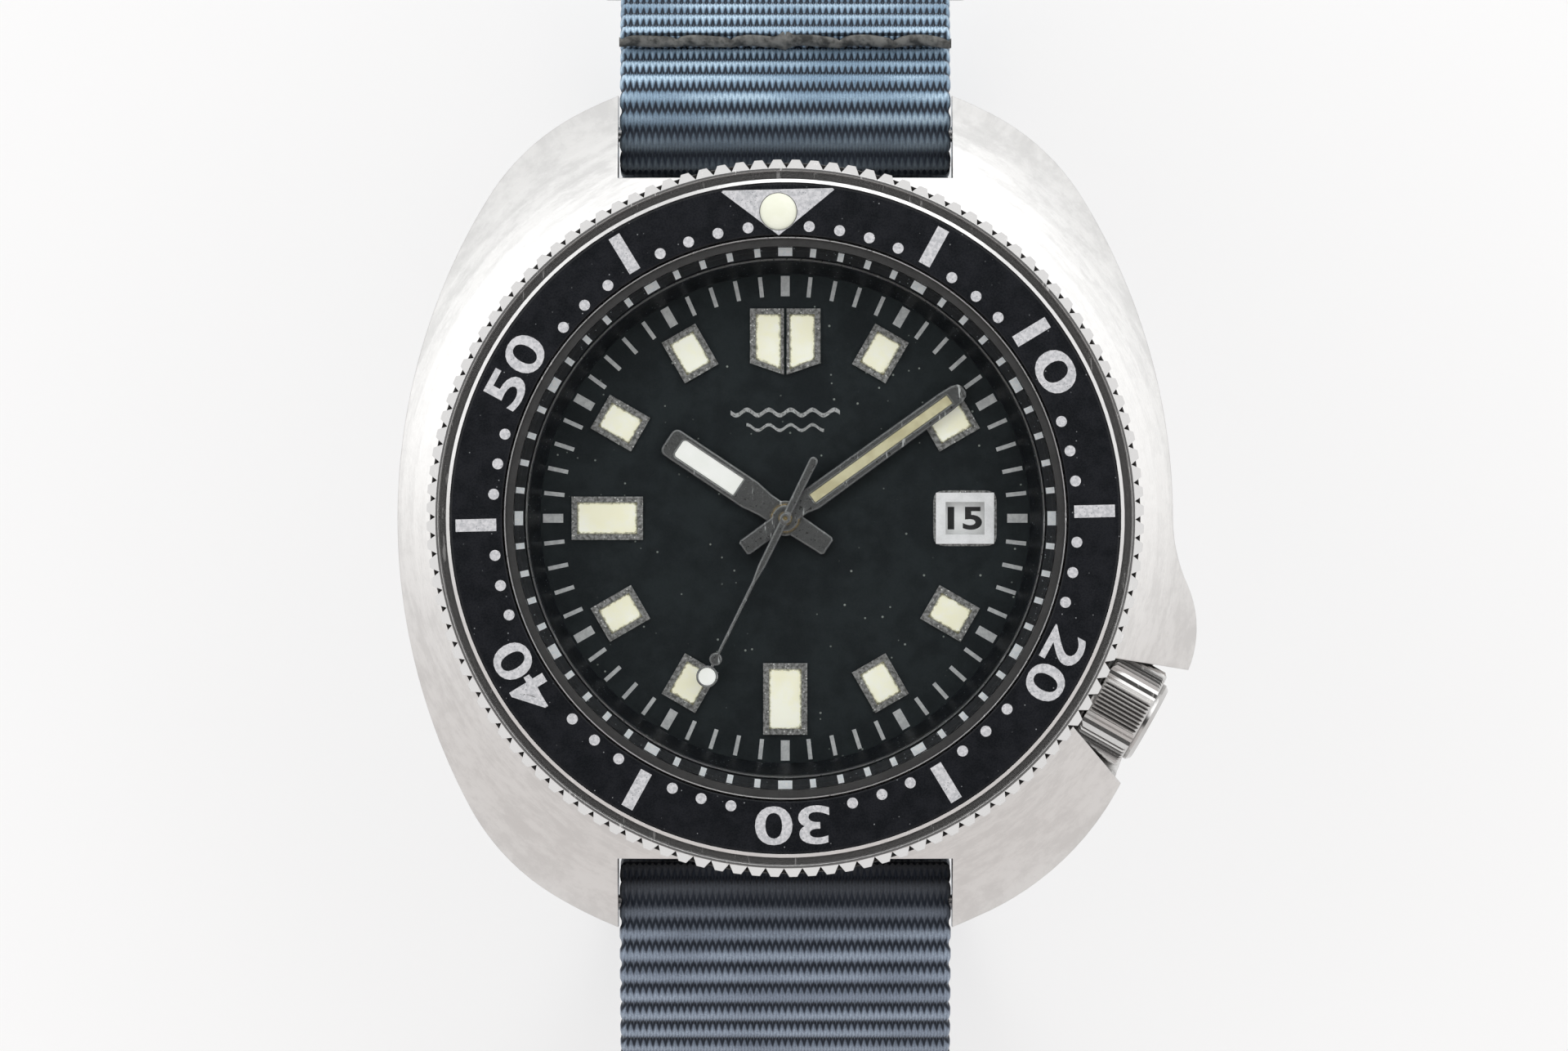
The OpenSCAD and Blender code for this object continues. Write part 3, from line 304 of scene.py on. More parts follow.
@dataclass(frozen=True)
class Steel:
    """Bare steel: colour, gloss, the way it was worked, its wear, painted shade in its cavities and a painted
    highlight on its rims.
    """

    name: str
    colour: Colour = (0.8, 0.795, 0.78)
    roughness: float = 0.3
    grain: Grain = Grain.POLISHED
    depth: float = 4e-6
    stain: float = 0.12
    edge: float = 0.05
    pits: float = 0.0
    side_roughness: float = 0.2
    # grime: reach in millimetres of the painted shade that darkens notches and grooves.
    grime: float = 0.0
    # rim: strength of a painted highlight, near-white colour on the rounded rims.
    rim: float = 0.0

    def lines(self, s: Shader) -> Socket:
        """The height of the grain's fine lines, 0 to 1."""
        if self.grain is Grain.ROUND_BRUSHED:
            return s.noise(s.around(), 4200.0, 5.0, 0.75)
        if self.grain is Grain.LONG_BRUSHED:
            wide = s.node("Mapping", {"Vector": s.spot, "Scale": (0.05, 1.0, 1.0)}).outputs[0]
            return s.noise(wide, 12000.0, 3.0, 0.6)
        slant = (0.3, 0.2, 0.7)
        wide = s.node("Mapping", {"Vector": s.spot, "Scale": (1.0, 0.12, 1.0), "Rotation": slant}).outputs[0]
        return s.ramp(s.noise(wide, 2500.0, 4.0, 0.7), 0.55, 0.75)

    def make(self) -> Material:
        """Build the material: grain in bump and roughness, stains and pits in the colour, painted shade in cavities,
        a painted highlight on rims, rounded edges.
        """
        s = Shader(self.name)
        lines = self.lines(s)
        cloud = s.noise(s.spot, 1900.0, 4.0, 0.7)
        mixed = s.math("ADD", s.math("MULTIPLY", lines, 0.8), s.math("MULTIPLY", cloud, 0.2))
        tone = s.ramp(mixed, 0.4, 0.58)
        dark = tuple(c * (1 - self.stain) for c in self.colour)
        colour = s.mix(tone, dark, self.colour)
        flat = s.node("NewGeometry").outputs["Normal"]
        face = s.node("SeparateXYZ", {0: flat}).outputs[2]
        up = s.ramp(s.math("ABSOLUTE", face), 0.3, 0.75)
        rough = s.ramp(lines, 0.3, 0.7, self.roughness * 0.8, self.roughness * 1.25)
        if self.grain is Grain.ROUND_BRUSHED:
            side = s.math("MULTIPLY", s.math("SUBTRACT", 1.0, up), self.side_roughness)
            rough = s.math("ADD", s.math("MULTIPLY", up, rough), side)
        # Painted shade: the colour is darkened towards near black where the surface is hemmed in, in notches and
        # grooves.
        if self.grime:
            open_share = s.node("AmbientOcclusion", {"Distance": self.grime * MM}, samples=6).outputs["AO"]
            colour = s.mix(s.ramp(open_share, 0.35, 0.8), (0.05, 0.047, 0.045), colour)
        height = lines
        if self.pits:
            pit = s.ramp(s.noise(s.spot, 5200.0, 3.0, 0.7), 0.66 - 0.25 * self.pits, 0.7 - 0.2 * self.pits)
            colour = s.mix(s.math("MULTIPLY", pit, 0.85), colour, (0.02, 0.02, 0.018))
            rough = s.math("ADD", rough, s.math("MULTIPLY", pit, 0.3))
            height = s.math("SUBTRACT", lines, s.math("MULTIPLY", pit, 6.0))
        rounded = s.node("Bevel", {"Radius": self.edge * MM}, samples=4).outputs[0]
        # Painted highlight: near-white colour and more roughness on the rims, where the bevelled normal leans away
        # from the face's normal.
        if self.rim:
            lean = s.node("VectorMath", {0: rounded, 1: flat}, operation="DOT_PRODUCT").outputs["Value"]
            rim_highlight = s.math("MULTIPLY", s.ramp(lean, 0.995, 0.93), s.ramp(lines, 0.3, 0.5, 0.5, 1.0))
            colour = s.mix(s.math("MULTIPLY", rim_highlight, self.rim), colour, (0.95, 0.96, 0.96))
            rough = s.math("ADD", rough, s.math("MULTIPLY", rim_highlight, 0.3))
        s.set(Base_Color=colour, Metallic=1.0, Roughness=rough)
        bump = s.node("Bump", {"Height": height, "Distance": self.depth, "Strength": 0.6, "Normal": rounded})
        s.set(Normal=bump.outputs[0])
        return s.material


@dataclass(frozen=True)
class Enamel:
    """Paint, print or plastic: a colour with a second tone in clouds, fine grain and specks."""

    name: str
    colour: Colour
    second: Colour
    roughness: float = 0.5
    cloud_scale: float = 900.0
    grain_scale: float = 9000.0
    grain_depth: float = 3e-6
    speck: Colour | None = None
    speck_scale: float = 1500.0
    speck_size: float = 0.12
    metallic: float = 0.0
    coat: float = 0.0
    specular: float = 0.5
    # glow: painted light, emission in the surface's own colour that brightens it where it sits in shade.
    glow: float = 0.0
    edge_stain: float = 0.0

    def make(self) -> Material:
        """Build the material from clouds of two tones, with grain in the bump."""
        s = Shader(self.name)
        cloud = s.ramp(s.noise(s.spot, self.cloud_scale, 4.0, 0.6), 0.35, 0.65)
        grain = s.noise(s.spot, self.grain_scale, 2.0, 0.5)
        colour = s.mix(cloud, self.colour, self.second)
        if self.speck:
            colour = s.mix(s.specks(self.speck_scale, self.speck_size), colour, self.speck)
        if self.edge_stain:
            open_share = s.node("AmbientOcclusion", {"Distance": self.edge_stain * MM}, samples=6, inside=True,
                only_local=True).outputs["AO"]
            ragged = s.math("ADD", open_share, s.math("MULTIPLY", s.noise(s.spot, 3500.0, 3.0, 0.7), 0.9))
            colour = s.mix(s.ramp(ragged, 0.98, 1.3), (0.16, 0.15, 0.08), colour)
        rough = s.ramp(grain, 0.3, 0.7, self.roughness * 0.85, min(1.0, self.roughness * 1.15))
        s.set(Base_Color=colour, Roughness=rough, Metallic=self.metallic, Coat_Weight=self.coat, Coat_Roughness=0.08)
        # The emission set by glow is painted light, not a lamp.
        s.set(Specular_IOR_Level=self.specular, Emission_Color=colour, Emission_Strength=self.glow)
        s.set(Normal=s.bump(grain, self.grain_depth, 0.7))
        return s.material


@dataclass(frozen=True)
class Glass:
    """Clear flat glass that lets light through and reflects more at a glancing angle."""

    name: str = "crystal_clear"
    tint: Colour = (0.985, 0.992, 0.995)

    def make(self) -> Material:
        """Mix a transparent shader and a gloss by the Fresnel share."""
        s = Shader(self.name)
        s.set(Base_Color=(1.0, 1.0, 1.0), Roughness=0.02, Metallic=1.0)
        clear = s.node("BsdfTransparent", {"Color": self.tint})
        share = s.node("Fresnel", {"IOR": 1.28}).outputs[0]
        mixed = s.node("MixShader", {0: share, 1: clear.outputs[0], 2: s.base.outputs[0]})
        s.tree.links.new(mixed.outputs[0], s.out.inputs[0])
        return s.material


@dataclass(frozen=True)
class Webbing:
    """Ribbed nylon: ribs with a painted highlight, dark toothed gaps that are partly the weave and partly painted
    shade, fine threads; reads the piece's own UV map in millimetres.
    """

    name: str = "ribbed_nylon"
    rib_pitch: float = 1.22
    tooth_pitch: float = 0.36
    tooth_reach: float = 0.17
    blue: Colour = (0.24, 0.36, 0.49)
    blue_bright: Colour = (0.58, 0.77, 0.93)
    grey: Colour = (0.22, 0.265, 0.34)
    grey_bright: Colour = (0.35, 0.42, 0.52)
    dark: Colour = (0.008, 0.014, 0.026)

    def make(self) -> Material:
        """Build the weave: distance from a zigzag line between ribs gives colour and bump; rib crests carry a
        painted highlight and the gaps a painted shade.

        The twelve o'clock side is bluer, and both sides have a painted shadow where they dip into the lugs.
        """
        s = Shader(self.name)
        uv = s.node("SeparateXYZ", {0: s.node("UVMap", uv_map="weave").outputs[0]})
        across, along = uv.outputs[0], uv.outputs[1]
        zigzag = s.math("PINGPONG", s.math("DIVIDE", across, self.tooth_pitch), 0.5)
        shift = s.math("MULTIPLY", s.math("SUBTRACT", zigzag, 0.25), 4 * self.tooth_reach)
        phase = s.math("ADD", s.math("DIVIDE", along, self.rib_pitch), shift)
        gap = s.math("PINGPONG", phase, 0.5)
        rib = s.ramp(gap, 0.07, 0.3)
        fine = s.math("SINE", s.math("MULTIPLY", across, TURN * 2 / self.tooth_pitch))
        split = s.node("SeparateXYZ", {0: s.spot})
        half = s.ramp(split.outputs[1], -0.01, 0.01)
        wide = s.node("Mapping", {"Vector": s.spot, "Scale": (0.25, 1.0, 1.0)}).outputs[0]
        cloud = s.ramp(s.noise(wide, 420.0, 3.0, 0.6), 0.3, 0.65)
        fuzz = s.noise(s.spot, 14000.0, 2.0, 0.6)
        # Painted highlight: the crest of each rib is painted towards the bright tone.
        crest = s.math("MULTIPLY", cloud, s.ramp(gap, 0.2, 0.5))
        tone = s.mix(half, s.mix(crest, self.grey, self.grey_bright), s.mix(crest, self.blue, self.blue_bright))
        tone = s.mix(s.ramp(fuzz, 0.3, 0.62, 0.35, 0.0), tone, self.dark)
        tone = s.mix(s.math("MULTIPLY", s.ramp(fine, -0.4, 1.0), 0.22), tone, self.dark)
        # Painted shadow: the strap is darkened towards near black where it dips between the lugs by the case.
        flat = s.math("ABSOLUTE", split.outputs[1])
        head = s.ramp(split.outputs[2], 0.04, 0.046)
        lug_shadow = s.math("MULTIPLY", s.ramp(flat, 0.0248, 0.0205), head)
        tone = s.mix(s.math("MULTIPLY", lug_shadow, 0.85), tone, (0.02, 0.02, 0.023))
        height = s.math("ADD", rib, s.math("MULTIPLY", fine, 0.08))
        # The gaps between ribs are painted near black: partly the weave's own dark, partly painted shade.
        s.set(Base_Color=s.mix(rib, self.dark, tone), Roughness=0.6, Sheen_Weight=0.15, Sheen_Roughness=0.4)
        s.set(Specular_IOR_Level=0.35)
        s.set(Normal=s.bump(s.math("ADD", height, s.math("MULTIPLY", fuzz, 0.1)), 6e-5, 0.55))
        return s.material


class Finishes:
    """Every finish, each built once and kept by name."""

    def __init__(self) -> None:
        """Build all the materials."""
        finishes = [
            Steel("case_steel", (0.77, 0.765, 0.755), 0.36, Grain.ROUND_BRUSHED, 3e-5, 0.1, edge=0.12),
            # bezel_steel and crown_steel: grime paints shade into the bezel's notches and the crown's grooves.
            Steel("bezel_steel", (0.8, 0.795, 0.79), 0.28, Grain.POLISHED, 3e-6, 0.1, 0.04, grime=0.5),
            Steel("crown_steel", (0.72, 0.71, 0.7), 0.25, Grain.POLISHED, 3e-6, 0.2, 0.02, grime=0.3),
            Steel("polished_steel", (0.74, 0.735, 0.725), 0.2, Grain.POLISHED, 3e-6),
            Steel("ring_steel", (0.72, 0.72, 0.72), 0.4, Grain.POLISHED, 3e-6, 0.3, 0.04, 0.2),
            # hand_steel's rim paints a highlight on the hands' rounded rims.
            Steel("hand_steel", (0.66, 0.67, 0.66), 0.34, Grain.POLISHED, 8e-6, 0.6, 0.16, 0.22, rim=0.9),
            Steel("strap_steel", (0.62, 0.615, 0.6), 0.26, Grain.LONG_BRUSHED, 2e-6),
            Steel("hard_steel", (0.6, 0.6, 0.61), 0.25, Grain.LONG_BRUSHED, 2e-6),
            Enamel("aged_frame", (0.36, 0.36, 0.35), (0.09, 0.09, 0.085), 0.45, 5200.0, grain_depth=1e-5,
                speck=(0.75, 0.75, 0.72), speck_scale=5200.0, speck_size=0.3),
            Steel("nickel_plate", (0.68, 0.65, 0.58), 0.3, Grain.LONG_BRUSHED),
            Steel("gilt_brass", (0.78, 0.6, 0.3), 0.25, Grain.ROUND_BRUSHED, 2e-6),
            Steel("blued_steel", (0.06, 0.09, 0.26), 0.25, Grain.POLISHED, 2e-6),
            Enamel("insert_black", (0.004, 0.005, 0.007), (0.009, 0.01, 0.013), 0.28, speck=(0.25, 0.26, 0.27),
                speck_scale=2200.0, speck_size=0.1, specular=0.2),
            Enamel("silver_print", (0.42, 0.43, 0.45), (0.62, 0.62, 0.64), 0.4, 5200.0, speck=(0.25, 0.26, 0.28),
                speck_scale=6500.0, speck_size=0.3),
            Enamel("dial_black", (0.007, 0.011, 0.013), (0.014, 0.02, 0.022), 0.6, 500.0, speck=(0.3, 0.33, 0.3),
                speck_scale=1500.0, speck_size=0.12, specular=0.2),
            Enamel("chapter_black", (0.007, 0.009, 0.011), (0.015, 0.018, 0.022), 0.45, 2500.0,
                speck=(0.32, 0.36, 0.38), speck_scale=4200.0, speck_size=0.17, specular=0.25),
            Enamel("track_print", (0.5, 0.51, 0.51), (0.64, 0.65, 0.64), 0.5, 4000.0),
            # The glow of chapter_print, cream_lume, white_lume, date_white and date_frame_white is painted light: it
            # brightens the ticks, lume and date where they sit in shade under the crystal and bezel.
            Enamel("chapter_print", (0.85, 0.88, 0.9), (0.98, 1.0, 1.0), 0.5, 4000.0, glow=0.1),
            Enamel("cream_lume", (0.99, 0.985, 0.84), (0.93, 0.9, 0.68), 0.75, 500.0, grain_depth=8e-6,
                glow=0.24, edge_stain=0.2),
            Enamel("white_lume", (1.0, 1.0, 0.96), (0.93, 0.94, 0.88), 0.75, 900.0, grain_depth=8e-6, glow=0.22),
            Enamel("straw_lume", (0.82, 0.77, 0.5), (0.66, 0.6, 0.36), 0.75, 900.0, grain_depth=8e-6),
            Enamel("pip_lume", (0.86, 0.88, 0.76), (0.82, 0.84, 0.7), 0.7, 900.0, grain_depth=6e-6),
            Enamel("date_white", (0.85, 0.85, 0.84), (0.74, 0.74, 0.73), 0.4, 800.0, glow=0.22),
            Enamel("date_frame_white", (0.97, 0.97, 0.97), (0.86, 0.86, 0.86), 0.25, 1200.0, coat=0.4, glow=0.1),
            Enamel("figure_black", (0.01, 0.01, 0.01), (0.02, 0.02, 0.02), 0.5),
            Enamel("mark_silver", (0.7, 0.71, 0.7), (0.5, 0.51, 0.5), 0.3, 3000.0, metallic=0.6),
            Enamel("seal_black", (0.012, 0.012, 0.012), (0.02, 0.02, 0.02), 0.6),
            Enamel("ruby", (0.45, 0.01, 0.05), (0.55, 0.02, 0.08), 0.1, coat=1.0),
            Enamel("holder_white", (0.75, 0.74, 0.7), (0.7, 0.69, 0.65), 0.5),
            Enamel("sealed_edge", (0.03, 0.03, 0.028), (0.17, 0.17, 0.16), 0.5, 1500.0, grain_depth=2e-5),
            Glass(),
            Webbing(),
        ]
        self.made = {f.name: f.make() for f in finishes}

    def __getitem__(self, name: str) -> Material:
        """The material of that name."""
        return self.made[name]


NODE_FINISH = {
    "case_steel": ["case_middle", "case_back"],
    "bezel_steel": ["bezel_ring"],
    "crown_steel": ["crown"],
    "polished_steel": ["crown_tube"],
    "ring_steel": ["crystal_ring"],
    "hand_steel": ["hour_hand", "minute_hand", "seconds_hand"],
    "strap_steel": ["keeper_upper", "keeper_lower", "buckle_bar", "buckle_frame", "buckle_tongue"],
    "hard_steel": ["spring_bars", "click_ring", "click_balls", "click_springs", "mainspring", "escape_wheel",
        "pallet_fork", "rotor_screw", "winding_stem"],
    "aged_frame": ["marker_frames"],
    "nickel_plate": ["main_plate", "train_bridge", "balance_cock", "rotor"],
    "gilt_brass": ["barrel", "centre_wheel", "third_wheel", "fourth_wheel", "balance_wheel", "minute_wheel",
        "hour_wheel"],
    "blued_steel": ["movement_screws", "hairspring"],
    "insert_black": ["bezel_insert"],
    "dial_black": ["dial"],
    "chapter_black": ["chapter_ring"],
    "cream_lume": ["marker_lume"],
    "white_lume": ["hour_lume", "seconds_lume"],
    "straw_lume": ["minute_lume"],
    "pip_lume": ["bezel_pip"],
    "date_white": ["date_ring"],
    "date_frame_white": ["date_frame"],
    "seal_black": ["case_back_gasket", "bezel_gasket", "crystal_gasket", "crown_gasket"],
    "ruby": ["jewels"],
    "holder_white": ["movement_holder"],
    "crystal_clear": ["crystal"],
}


def dress_nodes(finishes: Finishes) -> None:
    """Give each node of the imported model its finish."""
    for finish, nodes in NODE_FINISH.items():
        for name in nodes:
            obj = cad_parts[name]
            obj.data.materials.clear()
            obj.data.materials.append(finishes[finish])
            log.info("%s dressed in %s", name, finish)


def top_of(node: str) -> float:
    """A node's highest point, in millimetres."""
    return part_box(node)[1][2] / MM


def base_of(node: str) -> float:
    """A node's lowest point, in millimetres."""
    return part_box(node)[0][2] / MM


# ---- studio ----


@dataclass
class Studio:
    """Camera straight above the dial, soft lights around it and a pale floor."""

    view_width: float = 88.43
    sensor: float = 36.0
    distance: float = 800.0
    aim: tuple[float, float] = (-0.07, -0.41)
    floor_size: float = 4.0
    glow: float = 1.0
    floor_glow: float = 0.54
    lights: list[bpy.types.Object] = field(default_factory=list)

    def camera(self) -> None:
        """Place the camera so that the frame's width at the bezel's top is view_width."""
        data = bpy.data.cameras.new("camera")
        data.sensor_width = self.sensor
        data.lens = self.sensor * self.distance / self.view_width
        data.clip_end = 10.0
        obj = bpy.data.objects.new("camera", data)
        obj.location = (self.aim[0] * MM, self.aim[1] * MM, (top_of("bezel_ring") + self.distance) * MM)
        bpy.context.scene.collection.objects.link(obj)
        bpy.context.scene.camera = obj

    def area(self, name: str, place: Sequence[float], size: float, power: float) -> None:
        """One square soft light that faces the watch.

        Args:
            name: the light's name.
            place: its position in metres.
            size: its side in metres.
            power: its power in watts.
        """
        data = bpy.data.lights.new(name, "AREA")
        data.size, data.energy = size, power
        obj = bpy.data.objects.new(name, data)
        obj.location = place
        obj.rotation_euler = (Vector((0, 0, 0.05)) - Vector(place)).to_track_quat("-Z", "Y").to_euler()
        bpy.context.scene.collection.objects.link(obj)
        self.lights.append(obj)

    def world(self) -> None:
        """A white surround, a little dimmer and warmer behind six o'clock and dark straight overhead."""
        world = bpy.data.worlds.new("surround")
        world.use_nodes = True
        nodes = world.node_tree.nodes
        back = nodes["Background"]
        kinds = ("TexCoord", "SeparateXYZ", "MapRange", "MapRange", "Mix")
        place, split, ramp, side, tint = (nodes.new("ShaderNode" + kind) for kind in kinds)
        tint.data_type = "RGBA"
        ramp.interpolation_type = side.interpolation_type = "SMOOTHSTEP"
        for node, values in ((ramp, (0.93, 0.995, self.glow, 0.04)), (side, (-0.6, 0.3, 0.0, 1.0))):
            for socket, value in zip(("From Min", "From Max", "To Min", "To Max"), values):
                node.inputs[socket].default_value = value
        tint.inputs[6].default_value = (0.8, 0.76, 0.745, 1.0)
        tint.inputs[7].default_value = (1.0, 1.0, 1.0, 1.0)
        links = ((place, "Generated", split, 0), (split, 2, ramp, "Value"), (split, 1, side, "Value"),
            (side, 0, tint, 0), (tint, 2, back, "Color"), (ramp, 0, back, "Strength"))
        for source, output, target, socket in links:
            world.node_tree.links.new(source.outputs[output], target.inputs[socket])
        bpy.context.scene.world = world

    def floor(self) -> None:
        """A pale floor under the strap, lit partly from within so that shadows stay faint."""
        half = self.floor_size / MM / 2
        below = -0.02
        signs = ((-1, -1), (1, -1), (1, 1), (-1, 1))
        obj = to_object("floor", (np.array([[x * half, y * half, below] for x, y in signs]), [(0, 1, 2, 3)]))
        s = Shader("pale_floor")
        tone = s.mix(s.noise(s.spot, 30.0), (0.42, 0.42, 0.42), (0.41, 0.41, 0.41))
        s.set(Base_Color=tone, Roughness=0.9, Specular_IOR_Level=0.0)
        s.set(Emission_Color=(1.0, 1.0, 1.0), Emission_Strength=self.floor_glow)
        obj.data.materials.append(s.material)

    def build(self) -> None:
        """Camera, surround, floor and lights."""
        self.camera()
        self.world()
        self.floor()
        self.area("left_light", (-0.5, 0.3, 0.75), 0.7, 1.2)
        self.area("right_light", (0.5, 0.2, 0.75), 0.7, 0.72)
        self.area("top_light", (0.15, 0.65, 0.6), 0.6, 1.3)
        bpy.context.scene.view_settings.view_transform = "Standard"
        log.info("studio: camera, %d lights, floor and surround", len(self.lights))


# ---- bezel ----


@dataclass
class BezelMarks:
    """Silver marks printed on the bezel's insert: triangle, bars, figures and minute dots."""

    finishes: Finishes
    turn: float = -1.3
    inner: float = 16.05
    outer: float = 18.8
    rise: float = 0.18
    proud: float = 0.02
    sunk: float = 0.03
    bar_span: tuple[float, float] = (16.3, 18.6)
    bar_width: float = 0.7
    dot_ring: float = 16.5
    dot_r: float = 0.31
    figure_ring: float = 17.32
    figure_height: float = 2.2
    figure_width: float = 4.2
    figure_stroke: float = 0.05

    def height(self, points: np.ndarray) -> np.ndarray:
        """Height of the insert's face at each point: a cone that rises evenly towards the middle."""
        radius = np.hypot(points[:, 0], points[:, 1])
        rim = top_of("bezel_insert") - self.rise
        return rim + self.rise * np.clip((self.outer - radius) / (self.outer - self.inner), -0.2, 1.0)

    def pressed(self, outline: np.ndarray) -> Mesh:
        """A thin plate of one outline, laid on the insert's cone."""
        face = self.height(outline)
        return loft(stacked([(outline, face + d) for d in (-self.sunk, self.proud)]))

    def triangle(self) -> Mesh:
        """The triangle at zero: rays from the pip's edge to the triangle's sides, closed above and below."""
        pip_at, pip_r, least = 17.3, 1.07, 0.02
        half_w, base_r, tip_r = 3.3, 18.55, 15.95
        corners = np.array([[-half_w, base_r], [0.0, tip_r], [half_w, base_r]])
        rays = unit_circle(180)
        centre = np.array([0.0, pip_at])
        reach = np.full(len(rays), np.inf)
        for a, b in zip(corners, np.roll(corners, -1, 0)):
            edge = b - a
            normal = np.array([-edge[1], edge[0]])
            along = rays @ normal
            with np.errstate(divide="ignore", invalid="ignore"):
                hit = ((a - centre) @ normal) / along
            reach = np.where((hit > 0) & (hit < reach), hit, reach)
        near, far = centre + rays * pip_r, centre + rays * np.maximum(reach, pip_r + least)[:, None]
        middle = (near + far) / 2
        low, high = -self.sunk, self.proud
        order = [(near, low), (far, low), (far, high), (middle, high), (near, high)]
        return loft(stacked([(p, self.height(p) + d) for p, d in order]), ring=True)

    def figures(self) -> list[Mesh]:
        """The tens, tops outward, each figure thickened into a plate on the cone."""
        plates = []
        for tens in range(1, 6):
            figures = text_mesh(f"{tens}0", self.figure_height, self.figure_stroke, self.figure_width)
            flat, faces = turned(figures, tens * 60, self.figure_ring)
            top = np.column_stack([flat[:, :2], self.height(flat) + self.proud])
            plates.append((top, faces))
        return plates

    def build(self) -> None:
        """Make the marks, turn them with the bezel and dress them."""
        bars = [self.pressed(self.subdivided(bar_outline(m * 6, *self.bar_span, self.bar_width)))
            for m in range(5, 60, 10)]
        skipped = set(range(0, 60, 5)) | {tens + k for tens in range(10, 60, 10) for k in (-1, 1)}
        dots = [self.pressed(clock(m * 6)[0] * self.dot_ring + self.dot_r * unit_circle(16))
            for m in range(60) if m not in skipped]
        solid = joined([self.triangle(), *bars, *dots])
        for name, mesh in (("bezel_marks", solid), ("bezel_figures", joined(self.figures()))):
            obj = to_object(name, self.spun(mesh))
            if name == "bezel_figures":
                thicken(obj, self.proud + self.sunk)
            finish_piece(obj, "bezel", "insert_black", self.finishes["silver_print"])

    def subdivided(self, corners: np.ndarray) -> np.ndarray:
        """A bar's outline with a point halfway along each side, so that it bends with the cone."""
        return np.stack([corners, (corners + np.roll(corners, -1, 0)) / 2], 1).reshape(-1, 2)

    def spun(self, mesh: Mesh) -> Mesh:
        """Turn a mesh about the hands' axis by the bezel's rest angle."""
        a = math.radians(-self.turn)
        turn = np.array([[math.cos(a), math.sin(a), 0], [-math.sin(a), math.cos(a), 0], [0, 0, 1]])
        return mesh[0] @ turn, mesh[1]


# ---- dial ----


